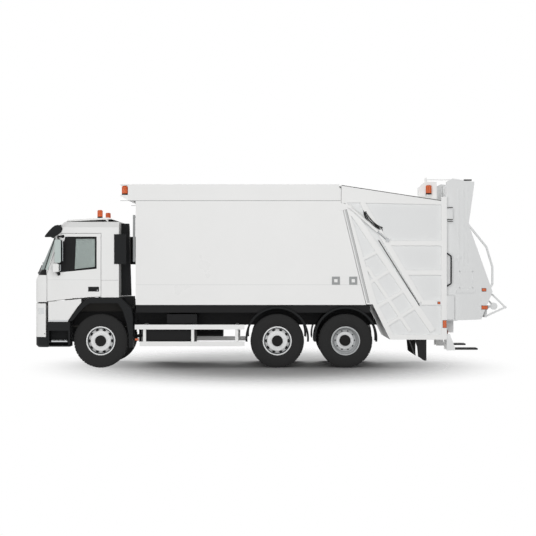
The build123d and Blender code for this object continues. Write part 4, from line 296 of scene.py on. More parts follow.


# Wheel faces: pressed steel discs with a black hub cap in front and ten nuts on studs. The hand
# holes open into the dark behind the disc, drawn as black ovals of painted shade, the well round
# an outset disc is painted dark grey as painted shade, and the drive wheels have a bright clamping
# ring.
def turned_cone(shape, place, turn, radii, depth, segments):
    """A capped cone at a place, turned from standing upright."""
    made = bmesh.ops.create_cone(shape, cap_ends=True, segments=segments, radius1=radii[0],
                                 radius2=radii[1], depth=depth)
    bmesh.ops.transform(shape, matrix=Matrix.Translation(place) @ turn, verts=made["verts"])


hub_black = finish_of("hub_black_paint", "121212", 0.5, Specular_IOR_Level=0.25)
# Painted shade: black ovals for the dark seen through the hand holes.
hole_painted_shade = finish_of("hand_hole_painted_shade", "070707", 0.85)
# Painted shade: a dark grey annulus on the well round an outset disc, where its wall lies in
# shade.
well_shade = finish_of("rim_well_painted_shade", "55585A", 0.6)
ring_silver = finish_of("zinc_plated_ring", "DCDDDE", 0.3, Metallic=0.3)
hub_paint_radius = 0.113
nut_radii = (0.015, 0.012)
nut_height = 0.020
nut_count = 10
nut_sides = 6
hole_depth = 0.012
hole_segments, hole_rings = 24, 8
ring_steps = 72
# The well round an outset disc, in painted shade, and the drive wheel's ring: (y, radius) places
outset_well = ((1.1215, 0.246), (1.106, 0.2665), (1.150, 0.2662), (1.150, 0.2640),
               (1.112, 0.2635), (1.1240, 0.246))
drive_ring = ((0.909, 0.112), (0.909, 0.176), (0.923, 0.174), (0.925, 0.168), (0.925, 0.112))
# Columns: nuts' circle and y, hand holes' circle and y, holes' half sizes, ring, its finish
outset_face = ((0.140, 1.166), (0.221, 1.136), (0.019, 0.042), outset_well, well_shade)
drive_face = ((0.145, 0.932), (0.195, 0.912), (0.011, 0.017), drive_ring, ring_silver)


def on_circle(centre, circle, y, turn):
    return (centre.x + circle * math.cos(turn), y, centre.z + circle * math.sin(turn))


def wheel_nuts(shape, centre, circle, face_y, side):
    for index in range(nut_count):
        turn = math.tau * (index + 0.5) / nut_count
        turned_cone(shape, on_circle(centre, circle, face_y, turn),
                    Matrix.Rotation(-side * math.pi / 2, 4, "X"), nut_radii, nut_height, nut_sides)


def hand_holes(shape, centre, circle, face_y, radial, tangential):
    """Black ovals in the disc's openings, one for each hand hole, as painted shade."""
    for index in range(nut_count):
        turn = math.tau * index / nut_count
        oval = bmesh.ops.create_uvsphere(shape, u_segments=hole_segments,
                                         v_segments=hole_rings, radius=1.0)
        place = (Matrix.Translation(on_circle(centre, circle, face_y, turn))
                 @ Matrix.Rotation(-turn, 4, "Y")
                 @ Matrix.Diagonal((radial, hole_depth, tangential, 1.0)))
        bmesh.ops.transform(shape, matrix=place, verts=oval["verts"])


for axle in ("front", "pusher", "drive"):
    for side_name, side in (("left", 1), ("right", -1)):
        rim = f"rim_{axle}_{side_name}"
        low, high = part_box(rim)
        centre = (low + high) / 2
        centre.z = tyre_radius
        repaint(rim, hub_black, lambda middle, facing: math.hypot(
            middle.x - centre.x, middle.z - centre.z) < hub_paint_radius)
        nut_place, hole_place, hole_size, ring_section, ring_finish = (
            drive_face if axle == "drive" else outset_face)
        nuts, holes, ring = bmesh.new(), bmesh.new(), bmesh.new()
        wheel_nuts(nuts, centre, nut_place[0], side * nut_place[1], side)
        hand_holes(holes, centre, hole_place[0], side * hole_place[1], *hole_size)
        spin_section(ring, [(side * y, radius) for y, radius in ring_section],
                     (centre.x, 0, centre.z), ring_steps, closed=True)
        bmesh.ops.recalc_face_normals(ring, faces=ring.faces)
        body = f"wheel_{axle}_{side_name}"
        new_piece(f"wheel_nuts_{axle}_{side_name}", body, ring_silver, nuts)
        new_piece(f"hand_holes_{axle}_{side_name}", body, hole_painted_shade, holes)
        new_piece(f"disc_ring_{axle}_{side_name}", body, ring_finish, ring)


# Door windows: glass in a gloss black border, wide in front where its corner moulding carries
# the mirror's foot. The border leans inwards with the cab's side.
def both_sides(name, body, slot, material, draw, *sizes):
    """Draws a piece for the left side and turns a copy over for the right side."""
    for side_name in ("left", "right"):
        shape = bmesh.new()
        draw(shape, *sizes)
        if side_name == "right":
            bmesh.ops.scale(shape, verts=shape.verts, vec=(1, -1, 1))
            bmesh.ops.reverse_faces(shape, faces=shape.faces)
        new_piece(f"{name}_{side_name}", body.replace("SIDE", side_name), material, shape)


def thicken(shape, faces, step):
    """Extrudes flat faces by a step into a plate."""
    grown = bmesh.ops.extrude_face_region(shape, geom=faces)
    moved = [item for item in grown["geom"] if isinstance(item, bmesh.types.BMVert)]
    bmesh.ops.translate(shape, verts=moved, vec=step)
    bmesh.ops.recalc_face_normals(shape, faces=shape.faces)


gloss_black = finish_of("gloss_black_moulding", "0C0C0D", 0.40, Specular_IOR_Level=0.25)
cab_side_y = 1.245
cab_side_top_y = 1.235
side_low_z = 1.894
side_top_z = 2.606
border_rise = 0.003
window_outer = ((4.310, 1.905), (4.118, 2.628), (3.490, 2.628), (3.490, 1.985))
window_inner = ((3.930, 1.975), (3.905, 2.585), (3.525, 2.585), (3.525, 2.025))


def window_border(shape):
    outer = [shape.verts.new((x, cab_side_y + border_rise, z)) for x, z in window_outer]
    inner = [shape.verts.new((x, cab_side_y + border_rise, z)) for x, z in window_inner]
    for index in range(len(outer)):
        after = (index + 1) % len(outer)
        shape.faces.new((outer[index], outer[after], inner[after], inner[index]))
    bmesh.ops.recalc_face_normals(shape, faces=shape.faces)
    thicken(shape, list(shape.faces), (0, -2 * border_rise, 0))
    for vert in shape.verts:
        share = (vert.co.z - side_low_z) / (side_top_z - side_low_z)
        vert.co.y += (cab_side_top_y - cab_side_y) * share


both_sides("window_border", "door_SIDE", "dark_plastic", gloss_black, window_border)


# Door handles: a black moulded dish let into the door's skin, with a pull bar across it and a
# bright chromed lock button at its rear end.
def block(shape, middle, size):
    """A plain block of a size about its middle."""
    made = bmesh.ops.create_cube(shape, size=1.0)
    bmesh.ops.scale(shape, verts=made["verts"], vec=size)
    bmesh.ops.translate(shape, verts=made["verts"], vec=middle)


def box_piece(shape, low, high):
    """A plain block between two corners."""
    low, high = Vector(low), Vector(high)
    block(shape, (low + high) / 2, high - low)


def soft_edges(shape, width, segments=2):
    sharp = 0.6
    edges = [edge for edge in shape.edges if edge.is_manifold and edge.calc_face_angle(0) > sharp]
    bmesh.ops.bevel(shape, geom=edges, offset=width, offset_type="OFFSET", affect="EDGES",
                    segments=segments, profile=0.5, material=-1)


fine_edge = 0.002
moulded_edge = 0.003
handle_x, handle_z = 3.550, 1.577
dish_size = (0.215, 0.010, 0.095)
dish_stand = 0.003
pull_offset = (-0.010, 0.020, 0.012)
pull_size = (0.1677, 0.024, 0.030)
lock_offset = (-0.078, 0.012, -0.022)
lock_radii = (0.013, 0.012)
lock_depth = 0.010
round_segments = 24
outward_left = Matrix.Rotation(-math.pi / 2, 4, "X")


def handle_dish(shape):
    block(shape, (handle_x, cab_side_y + dish_stand, handle_z), dish_size)
    soft_edges(shape, moulded_edge)
    block(shape, Vector((handle_x, cab_side_y, handle_z)) + Vector(pull_offset), pull_size)


def round_plug(shape, place, radii, depth):
    """A short round plug that stands out of a side face."""
    turned_cone(shape, place, outward_left, radii, depth, round_segments)


both_sides("door_handle", "door_SIDE", "dark_plastic", moulded_black, handle_dish)
both_sides("lock_button", "door_SIDE", "chrome_rod", chrome_plate, round_plug,
           Vector((handle_x, cab_side_y, handle_z)) + Vector(lock_offset), lock_radii, lock_depth)

# Mirror glass: silvered float glass that shows what is behind it. Each pane is set into the
# rear face of its head, the main one above and the wide-angle one below.
mirror_glass = finish_of("silvered_glass", "DDE2E4", 0.03, Metallic=1.0)
mirror_inner_y, mirror_outer_y = 1.325, 1.500
mirror_rear_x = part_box("mirror_left")[0].x
glass_proud, glass_sunk = 0.003, 0.004


def mirror_pane(shape, low_z, top_z, forward):
    box_piece(shape, (mirror_rear_x - glass_proud + forward, mirror_inner_y, low_z),
              (mirror_rear_x + glass_sunk + forward, mirror_outer_y, top_z))
    soft_edges(shape, fine_edge)


# Columns: name, low z, top z, how far its head stands forward
for label, low_z, top_z, forward in (("main", 2.135, 2.535, 0.0), ("wide", 1.942, 2.066, 0.044)):
    both_sides(f"mirror_glass_{label}", "door_SIDE", "dark_plastic", mirror_glass, mirror_pane,
               low_z, top_z, forward)

# Mirror heads and roof bar: the heads' side panes are pale, the wide-angle head is white, and the
# roof bar stands on feet, which with its underside are painted black as painted shade under the
# bar.
pane_grey = finish_of("pale_side_pane", "B9C4C1", 0.25)
mirror_side_y = 1.519
wide_head_low_z, wide_head_top_z = 1.925, 2.090
wide_head_inner_y = 1.33
foot_top_z = 2.962
downwards = -0.5
upright = 0.1
for side_name in ("left", "right"):
    repaint(f"mirror_{side_name}", pane_grey,
            lambda middle, facing: abs(middle.y) > mirror_side_y)
    repaint(f"mirror_{side_name}", white_enamel,
            lambda middle, facing: wide_head_low_z < middle.z < wide_head_top_z
            and abs(middle.y) > wide_head_inner_y)
# Painted shade: the roof bar's downward faces and its low upright faces are painted black.
repaint("roof_bar", moulded_black, lambda middle, facing: facing.z < downwards
        or (abs(facing.z) < upright and middle.z < foot_top_z))


# Step box trim: a bright aluminium strip on the box's top edge, and a chequered tread on the
# lower step, both riveted to the black moulding.
def on_side(shape, face_y, sink, rise, ends, levels):
    """A flat block set into a side face: its rear and front x, and its low and top z."""
    box_piece(shape, (ends[0], face_y - sink, levels[0]), (ends[1], face_y + rise, levels[1]))


brushed_trim = finish_of("brushed_aluminium_trim", "C9CBCD", 0.28, Metallic=1.0)
trim_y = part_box("cab_steps")[1].y
strip_ends, strip_levels = (4.072, 4.440), (0.928, 0.962)
strip_sink, strip_rise, strip_edge = 0.004, 0.005, 0.0015
tread_ends, tread_levels = (4.078, 4.394), (0.542, 0.556)
tread_depth = 0.100
tread_rise = 0.004
nosing_low_z = 0.520
cleat_size = (0.018, 0.090, 0.004)
cleat_z = 0.557
cleat_first_x = 4.095
cleat_spacing = 0.0352
cleat_count = 9


def step_strip(shape):
    on_side(shape, trim_y, strip_sink, strip_rise, strip_ends, strip_levels)
    soft_edges(shape, strip_edge)


def step_tread(shape):
    on_side(shape, trim_y, tread_depth, tread_rise, tread_ends, tread_levels)
    on_side(shape, trim_y, 0, tread_rise, tread_ends, (nosing_low_z, tread_levels[1]))
    for row in range(cleat_count):
        block(shape, (cleat_first_x + row * cleat_spacing, trim_y - tread_depth / 2, cleat_z),
              cleat_size)


both_sides("step_strip", "chassis", "tank_metal", brushed_trim, step_strip)
both_sides("step_tread", "chassis", "tank_metal", brushed_trim, step_tread)

# Side marker lamps: small orange acrylic reflex lenses in thin black moulded bezels, screwed
# flat to the side guards, the tailgate's posts and the lifter.
marker_depth = 0.008
bezel_margin = 0.006
bezel_stand, lens_stand = 0.002, 0.008
# Columns: name, body, middle x, middle z, length, height, face y
marker_table = (
    ("marker_guard", "chassis", 2.690, 0.568, 0.070, 0.040, 1.206),
    ("marker_post_low", "tailgate", -3.481, 0.876, 0.070, 0.145, 1.200),
    ("marker_post_high", "tailgate", -3.365, 1.300, 0.050, 0.040, 1.200),
    ("marker_lifter_high", "tailgate", -4.290, 1.560, 0.080, 0.055, 1.060),
    ("marker_lifter_low", "tailgate", -4.300, 1.205, 0.120, 0.070, 1.060),
)


def marker_part(shape, middle, length, height, edge):
    block(shape, middle, (length, marker_depth, height))
    soft_edges(shape, edge)


for name, body, x, z, length, height, face_y in marker_table:
    both_sides(f"{name}_bezel", body, "dark_plastic", moulded_black, marker_part,
               (x, face_y + bezel_stand, z), length + 2 * bezel_margin,
               height + 2 * bezel_margin, fine_edge)
    both_sides(f"{name}_lens", body, "orange_lens", orange_acrylic, marker_part,
               (x, face_y + lens_stand, z), length, height, moulded_edge)

# Coachwork creases: folds pressed into the side sheets and joints between them, drawn as thin
# strips where the sheets lap, on the load body, the cab's rear quarter, the doors and the lifter.
# The grey strips are painted shade in the folds and grooves.
# Painted shade: a darker and a fainter grey for the shade in the folds and grooves.
seam_shadow = finish_of("seam_shadow", "8B8C8C", 0.7)
faint_seam_shade = finish_of("faint_seam_shade", "CBCCCC", 0.6)
seal_black = finish_of("seal_black", "121212", 0.6)
seam_sink, seam_rise = 0.003, 0.0012
# Columns: name, body, rear x, front x, z, height, face y, finish
seam_table = (
    ("body_fold", "chassis", -1.870, 2.700, 1.664, 0.005, 1.200, faint_seam_shade),
    ("roof_groove", "chassis", -1.398, 3.020, 3.3495, 0.008, 1.1985, seam_shadow),
    ("quarter_fold", "cab", 3.052, 3.398, 1.756, 0.005, 1.245, seam_shadow),
    ("door_crease", "door_SIDE", 3.420, 4.470, 1.764, 0.004, 1.245, faint_seam_shade),
    ("hinge_line_high", "tailgate", -3.650, -3.540, 3.214, 0.016, 1.180, seal_black),
    ("hinge_line_mid", "tailgate", -3.650, -3.540, 2.974, 0.014, 1.180, seal_black),
    ("hinge_line_low", "tailgate", -3.650, -3.540, 2.934, 0.014, 1.180, seal_black),
    ("lifter_cap", "tailgate", -4.041, -3.881, 3.770, 0.030, 1.060, seal_black),
)
for name, body, rear_x, front_x, z, height, face_y, finish in seam_table:
    both_sides(name, body, "grey_fittings", finish, on_side, face_y, seam_sink, seam_rise,
               (rear_x, front_x), (z - height / 2, z + height / 2))


# Tailgate seals: black rubber along the roof's slope and between the two slanted beams, and the
# lap of the front edge's flange, drawn in grey as painted shade.
def bar(shape, start, end, width, depth):
    """A straight bar between two places."""
    start, end = Vector(start), Vector(end)
    made = bmesh.ops.create_cube(shape, size=1.0)
    span = end - start
    turn = span.to_track_quat("X", "Z").to_matrix().to_4x4()
    grow = Matrix.Diagonal((span.length, width, depth, 1.0))
    bmesh.ops.transform(shape, matrix=Matrix.Translation((start + end) / 2) @ turn @ grow,
                        verts=made["verts"])


# Painted shade: light grey on the front flange's lap, darker grey at its edge.
lap_shade = finish_of("lap_shade", "BFC0C0", 0.6)
gate_side_y = 1.2005
lap_thickness = 0.003
# Columns: name, finish, start (x, z), end (x, z), width
lap_table = (
    ("roof_seal", seal_black, (-1.420, 3.656), (-3.410, 3.351), 0.013),
    ("beam_seal", seal_black, (-2.156, 2.558), (-2.976, 1.244), 0.016),
    ("front_lap", lap_shade, (-1.462, 3.300), (-1.950, 1.300), 0.040),
    ("front_lap_edge", seam_shadow, (-1.486, 3.300), (-1.974, 1.300), 0.008),
)
for name, finish, start, end, width in lap_table:
    both_sides(name, "tailgate", "grey_fittings", finish, bar, (start[0], gate_side_y, start[1]),
               (end[0], gate_side_y, end[1]), lap_thickness, width)

# Square side lamps: a pale pressed plate in the middle of each grey frame, low on the load
# body's side in front of the tailgate.
square_lens_size = (0.068, 0.0018, 0.068)
square_lens_y, square_lens_z = 1.2169, 1.745
square_lens_xs = (-1.300, -1.648)


def square_lens(shape):
    for x in square_lens_xs:
        block(shape, (x, square_lens_y, square_lens_z), square_lens_size)


both_sides("square_lens", "chassis", "lamp_lens", white_enamel, square_lens)

# Corner lamps: a flush acrylic lens in the grille panel's corner, and a black moulded plug
# pushed into the tow eye's hole below it.
lamp_pale = finish_of("pale_lamp_acrylic", "DDDFDF", 0.15)
corner_lens_low, corner_lens_high = (4.545, 1.236, 1.080), (4.655, 1.2462, 1.205)
plug_place = (4.528, 1.243, 0.684)
plug_radii = (0.011, 0.010)
plug_depth = 0.010


def corner_lens(shape):
    box_piece(shape, corner_lens_low, corner_lens_high)
    soft_edges(shape, moulded_edge)


both_sides("corner_lens", "chassis", "lamp_lens", lamp_pale, corner_lens)
both_sides("tow_plug", "chassis", "dark_plastic", moulded_black, round_plug, plug_place,
           plug_radii, plug_depth)


# Windscreen cowl: a black moulding wrapped round the cab's front below the glass, copied from
# the shell's own outer skin so that it follows the bow and the corners.
merge_gap = 0.0002


def outer_skin(planes, keeps, lift):
    """The part of the cab shell's skin inside some planes, moved out along its normals."""
    shape = bmesh.new()
    shape.from_mesh(cad["cab_shell"].data)
    bmesh.ops.remove_doubles(shape, verts=shape.verts, dist=merge_gap)
    for place, cut_away in planes:
        everything = shape.verts[:] + shape.edges[:] + shape.faces[:]
        bmesh.ops.bisect_plane(shape, geom=everything, plane_co=place, plane_no=cut_away,
                               clear_outer=True)
    bmesh.ops.delete(shape, geom=[face for face in shape.faces if not keeps(face)],
                     context="FACES")
    shape.normal_update()
    for vert in shape.verts:
        vert.co += vert.normal * lift
    return shape


cowl_low_z = 1.858
cowl_top_z = 1.968
cowl_rear_x = 4.492
cowl_lift = 0.004
nose_x = 4.60
nose_facing = 0.3
cab_flank_y = 1.20


def cowl_face(face):
    middle = face.calc_center_median()
    return abs(middle.y) > cab_flank_y or face.normal.x > nose_facing and middle.x > nose_x


cowl = outer_skin([((0, 0, cowl_top_z), (0, 0, 1)), ((0, 0, cowl_low_z), (0, 0, -1)),
                   ((cowl_rear_x, 0, 0), (-1, 0, 0))], cowl_face, cowl_lift)
new_piece("windscreen_cowl", "cab", gloss_black, cowl)

# Windscreen corners: bonded glass wraps round the pillars up to the doors, with black rubber
# along the joint between the windscreen and the corner pane.
corner_glass = finish_of("corner_pane_glass", "B4C0BC", 0.12, IOR=1.52)
screen_edge = finish_of("screen_edge_glass", "8F9997", 0.12, IOR=1.52)
door_line = ((4.462, 0.0, 1.975), (-0.665, 0.0, -0.17))
rubber_line = Vector((4.416, 0.0, 2.322))
rubber_across = Vector((0.954, 0.0, 0.299))
rubber_half = 0.011
rubber_front = (rubber_line + rubber_across * rubber_half, rubber_across)
rubber_rear = (rubber_line - rubber_across * rubber_half, -rubber_across)
corner_top_z = 2.600
corner_inner_y = 0.9
flank_facing = 0.1
corner_levels = [((0, 0, corner_top_z), (0, 0, 1)), ((0, 0, cowl_top_z), (0, 0, -1))]
# Columns: name, slot, finish, planes, lift
corner_table = (
    ("corner_pane", "glass", corner_glass, [door_line], 0.004),
    ("screen_edge", "glass", screen_edge, [(rubber_line, -rubber_across)], 0.006),
    ("corner_rubber", "dark_plastic", seal_black, [rubber_front, rubber_rear], 0.008),
)


def corner_face(face):
    middle = face.calc_center_median()
    return face.normal.y * middle.y > flank_facing and abs(middle.y) > corner_inner_y


for name, slot, finish, planes, lift in corner_table:
    new_piece(name, "cab", finish, outer_skin(corner_levels + planes, corner_face, lift))

# Sun visor cheeks: black moulded ends that wrap the visor round the cab's upper corners. Each
# is a thick plate with rounded edges, bolted to the visor's end.
cheek_outline = ((4.528, 2.619), (4.528, 2.644), (4.448, 2.744), (4.380, 2.812), (4.328, 2.850),
                 (4.270, 2.864), (4.222, 2.852), (4.186, 2.818), (4.176, 2.776), (4.198, 2.718),
                 (4.250, 2.676), (4.318, 2.644), (4.374, 2.621))
cheek_outer_y = 1.256
cheek_depth = 0.150
cheek_edge = 0.010
cheek_edge_steps = 3


def visor_cheek(shape):
    face = shape.faces.new([shape.verts.new((x, cheek_outer_y, z)) for x, z in cheek_outline])
    thicken(shape, [face], (0, -cheek_depth, 0))
    soft_edges(shape, cheek_edge, cheek_edge_steps)


both_sides("visor_cheek", "cab", "dark_plastic", moulded_black, visor_cheek)

# Wipers: three pressed steel arms with rubber blades, parked along the windscreen's low edge,
# each on a boss in the cowl. A place on one is given from its pivot along y, in height, and in
# front of the glass.
screen_foot_x = 4.726
screen_lean = 0.41
screen_bow = 0.095
pivot_ys = (-0.30, 0.32, 0.92)
boss_place = (0.0, 1.900, 0.015)
boss_radii = (0.020, 0.017)
boss_depth = 0.05
boss_segments = 20
arm_foot, arm_tip = (0.0, 1.900, 0.030), (-0.30, 2.060, 0.040)
blade_low = (-0.62, 2.020, 0.026)
blade_middle = (-0.30, 2.070, 0.026)
blade_top = (0.02, 2.110, 0.026)
arm_section = (0.016, 0.010)
blade_section = (0.012, 0.024)
forwards = Matrix.Rotation(math.pi / 2, 4, "Y")


def screen_place(pivot_y, place):
    y, z, lift = pivot_y + place[0], place[1], place[2]
    middle_x = screen_foot_x - (z - side_low_z) * screen_lean
    return (middle_x - screen_bow * (y / cab_side_y) ** 2 + lift, y, z)


wipers = bmesh.new()
for pivot_y in pivot_ys:
    for start, end, section in ((arm_foot, arm_tip, arm_section),
                                (blade_low, blade_middle, blade_section),
                                (blade_middle, blade_top, blade_section)):
        bar(wipers, screen_place(pivot_y, start), screen_place(pivot_y, end), *section)
    turned_cone(wipers, screen_place(pivot_y, boss_place), forwards, boss_radii, boss_depth,
                boss_segments)
new_piece("wipers", "cab", moulded_black, wipers)

# Grille screen: a dark wire screen fixed behind the grille's slots, which keeps them black.
# Its wires are drawn 10 mm apart, as bump.
grille_screen = grained_black("grille_screen", "141415", 0.6, 10.0, 0.001)
screen_low, screen_high = (4.700, -0.640, 0.870), (4.704, 0.640, 1.300)
screen = bmesh.new()
box_piece(screen, screen_low, screen_high)
new_piece("grille_screen", "cab", grille_screen, screen)

# Headlamp units: two bright chromed reflector bowls on each side, set into the lamp's body
# behind the clear lens.
bowl_z = 1.005
bowl_depth = 0.012
bowl_segments = 32
bowl_rear_share = 0.9
lamp_front_x = 4.773
lamp_bow = 0.081
# Columns: y, radius
bowl_table = ((0.945, 0.062), (1.060, 0.050))


def headlamp_bowls(shape):
    for y, radius in bowl_table:
        x = lamp_front_x - lamp_bow * (y / cab_side_y) ** 2
        turned_cone(shape, (x, y, bowl_z), forwards, (radius, radius * bowl_rear_share),
                    bowl_depth, bowl_segments)


both_sides("headlamp_bowl", "chassis", "chrome_rod", chrome_plate, headlamp_bowls)


# Hydraulic hoses: three black rubber hoses over steel braid on each side, looped from the lift
# cylinder to the tailgate's side sheet.
def swept_tube(shape, places, radius, sides):
    """A round tube through places, its rings turned to follow the run."""
    rings = []
    for index, place in enumerate(places):
        before = Vector(places[max(index - 1, 0)])
        after = Vector(places[min(index + 1, len(places) - 1)])
        turn = (after - before).to_track_quat("Z", "Y").to_matrix().to_4x4()
        made = bmesh.ops.create_circle(shape, cap_ends=index in (0, len(places) - 1),
                                       segments=sides, radius=radius)
        bmesh.ops.transform(shape, verts=made["verts"],
                            matrix=Matrix.Translation(place) @ turn)
        rings.append([edge for vert in made["verts"] for edge in vert.link_edges])
    for first, second in zip(rings, rings[1:]):
        bmesh.ops.bridge_loops(shape, edges=list(set(first + second)))
    bmesh.ops.recalc_face_normals(shape, faces=shape.faces)


def smooth_run(corners, steps):
    """Places on a smooth run that passes through its corners."""
    places = []
    padded = [corners[0]] + list(corners) + [corners[-1]]
    for a, b, c, d in zip(padded, padded[1:], padded[2:], padded[3:]):
        a, b, c, d = (Vector(corner) for corner in (a, b, c, d))
        for step in range(steps):
            t = step / steps
            places.append(0.5 * ((2 * b) + (c - a) * t + (2 * a - 5 * b + 4 * c - d) * t * t
                                 + (3 * b - a - 3 * c + d) * t * t * t))
    places.append(Vector(corners[-1]))
    return places


hose_rubber = finish_of("hose_rubber", "161616", 0.6)
hose_radius = 0.011
hose_sides = 10
hose_steps = 6
hose_spacing = 0.032
hose_count = 3
# Columns: place on the first hose, and how far the next hose lies from it as spacing shares
hose_run = (
    ((-1.862, 1.165, 3.150), (-0.6, 0, 0.3)), ((-1.885, 1.215, 3.030), (-0.4, 0, 1.0)),
    ((-1.975, 1.224, 2.900), (-0.5, 0, 1.0)), ((-2.120, 1.224, 2.810), (0, 0, 0.8)),
    ((-2.235, 1.165, 2.745), (0, 0, 1.0)),
)


def hoses(shape):
    for index in range(hose_count):
        corners = [Vector(place) + Vector(shares) * hose_spacing * index
                   for place, shares in hose_run]
        swept_tube(shape, smooth_run(corners, hose_steps), hose_radius, hose_sides)


both_sides("lift_hoses", "tailgate", "flap_rubber", hose_rubber, hoses)

# Lifter side sheets: an access hatch with a raised rim, a ledge under it, vertical stiffening
# folds above, and a strut. All are pressed steel in the lifter's light grey.
lifter_side_y = 1.060
fold_sink = 0.002
strut_stand = 0.020
strut_start, strut_end = (-3.640, 2.140), (-3.840, 2.225)
strut_section = (0.012, 0.030)
# Columns: rear x, front x, low z, top z, rise: four bars of the rim, the ledge, three folds
# above, and the fold behind
fold_table = (
    (-4.072, -3.794, 1.592, 1.608, 0.012), (-4.072, -3.794, 1.924, 1.940, 0.012),
    (-4.072, -4.056, 1.592, 1.940, 0.012), (-3.810, -3.794, 1.592, 1.940, 0.012),
    (-4.112, -3.726, 1.500, 1.556, 0.030),
    (-3.790, -3.770, 2.050, 3.640, 0.012), (-3.890, -3.870, 2.050, 3.640, 0.012),
    (-3.970, -3.950, 2.050, 3.640, 0.012),
    (-4.236, -4.222, 1.000, 1.620, 0.010),
)


def lifter_sheet_work(shape):
    for rear_x, front_x, low_z, top_z, rise in fold_table:
        on_side(shape, lifter_side_y, fold_sink, rise, (rear_x, front_x), (low_z, top_z))
    bar(shape, (strut_start[0], lifter_side_y + strut_stand, strut_start[1]),
        (strut_end[0], lifter_side_y + strut_stand, strut_end[1]), *strut_section)


both_sides("lifter_sheet_work", "tailgate", "light_grey_paint", grey_enamel, lifter_sheet_work)

# Rotating beacons: a fluted orange acrylic dome clipped to a black moulded foot. The dome's
# sizes are shares of its radius, and its section is spun in steps of half a flute.
flute_count = 24
flute_depth_share = 0.05
flute_top_share = 0.3
foot_share = 0.16
foot_flare_shares = (1.02, 0.97)
foot_segments = 40
dome_foot_share = 0.96
dome_bead = 0.006
crown_drop = 0.004
axis_gap = 0.0005
# Columns: share of the radius out, share of the radius below the top
shoulder_shares = ((1.0, 0.5), (0.86, 0.16))
crown_share = 0.55


def beacon_lens(shape, x, y, low_z, top_z, radius):
    foot_z = low_z + (top_z - low_z) * foot_share
    section = [(radius * dome_foot_share, foot_z), (radius, foot_z + dome_bead)]
    section += [(radius * out, top_z - radius * down) for out, down in shoulder_shares]
    section += [(radius * crown_share, top_z - crown_drop), (axis_gap, top_z)]
    part = bmesh.new()
    corners = [part.verts.new((out, 0, z)) for out, z in section]
    edges = [part.edges.new(pair) for pair in zip(corners, corners[1:])]
    bmesh.ops.spin(part, geom=corners + edges, cent=(0, 0, 0), axis=(0, 0, 1), dvec=(0, 0, 0),
                   angle=math.tau, steps=flute_count * 2, use_merge=True)
    for vert in part.verts:
        step = round(math.atan2(vert.co.y, vert.co.x) / math.tau * flute_count * 2)
        if step % 2 and vert.co.z < top_z - radius * flute_top_share:
            vert.co.x *= 1 - flute_depth_share
            vert.co.y *= 1 - flute_depth_share
    bmesh.ops.recalc_face_normals(part, faces=part.faces)
    bmesh.ops.translate(part, verts=part.verts, vec=(x, y, 0))
    join_into(shape, part)


def beacon_foot(shape, x, y, low_z, top_z, radius):
    height = (top_z - low_z) * foot_share
    turned_cone(shape, (x, y, low_z + height / 2), Matrix.Identity(4),
                [radius * share for share in foot_flare_shares], height, foot_segments)
    soft_edges(shape, moulded_edge)


tail_low, tail_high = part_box("tail_lights")
cab_low, cab_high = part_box("cab_beacons")
body_low, body_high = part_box("body_beacons")
cab_dome_radius, body_dome_radius, tail_dome_radius = 0.054, 0.062, 0.058
tail_dome_low_z, tail_dome_top_z = 3.4723, 3.668
# Columns: CAD node, body, sides, middle x, outermost y, low z, top z, radius
beacon_table = (
    ("cab_beacons", "cab", (1, -1), (cab_low.x + cab_high.x) / 2, cab_high.y, cab_low.z,
     cab_high.z, cab_dome_radius),
    ("body_beacons", "chassis", (1, -1), (body_low.x + body_high.x) / 2, body_high.y,
     body_low.z, body_high.z, body_dome_radius),
    ("tail_lights", "tailgate", (1,), tail_high.x - tail_dome_radius, tail_high.y,
     tail_dome_low_z, tail_dome_top_z, tail_dome_radius),
)
for node_name, body, sides, x, outer_y, low_z, top_z, radius in beacon_table:
    lenses, feet = bmesh.new(), bmesh.new()
    for side in sides:
        y = side * (outer_y - radius)
        beacon_lens(lenses, x, y, low_z, top_z, radius)
        beacon_foot(feet, x, y, low_z, top_z, radius)
    new_piece(f"{node_name}_domes", body, orange_acrylic, lenses, [node_name])
    new_piece(f"{node_name}_feet", body, moulded_black, feet)

# Tail lamps: a black moulded housing under the tailgate with red, orange and clear acrylic
# panes set into its rear face.
lamp_face_x = tail_low.x
lamp_depth = 0.034
lamp_low_z, lamp_top_z = 0.600, 0.760
lamp_inner_y, lamp_outer_y = 0.775, 1.105
housing_edge = 0.006
pane_rise = 0.008
pane_depth = 0.012
pane_side_gap = 0.012
pane_gap = 0.004
pane_level_gap = 0.014


def lamp_housing(shape):
    box_piece(shape, (lamp_face_x + pane_rise, lamp_inner_y, lamp_low_z),
              (lamp_face_x + lamp_depth, lamp_outer_y, lamp_top_z))
    soft_edges(shape, housing_edge)


def lamp_pane(shape, first_share, last_share):
    start_y = lamp_inner_y + pane_side_gap
    width = lamp_outer_y - pane_side_gap - start_y
    box_piece(shape, (lamp_face_x, start_y + width * first_share, lamp_low_z + pane_level_gap),
              (lamp_face_x + pane_depth, start_y + width * last_share - pane_gap,
               lamp_top_z - pane_level_gap))
    soft_edges(shape, moulded_edge)


both_sides("tail_lamp_housing", "tailgate", "dark_plastic", moulded_black, lamp_housing)
# Columns: name, slot, acrylic, where it starts and ends as shares of the lamp's width
for label, slot, acrylic, first, last in (("red", "red_lens", red_acrylic, 0.0, 0.45),
                                          ("clear", "lamp_lens", clear_acrylic, 0.45, 0.65),
                                          ("orange", "orange_lens", orange_acrylic, 0.65, 1.0)):
    both_sides(f"tail_lamp_{label}", "tailgate", slot, acrylic, lamp_pane, first, last)

# Floor: a matt studio floor that keeps the truck's soft shadow. It fades out a few metres beyond
# the shadow, so that it runs into the white backdrop with no edge.
floor_half = 20.0
floor_squeeze = (1.35, 1.0, 0.0)
fade_start, fade_end = 2.4, 7.0


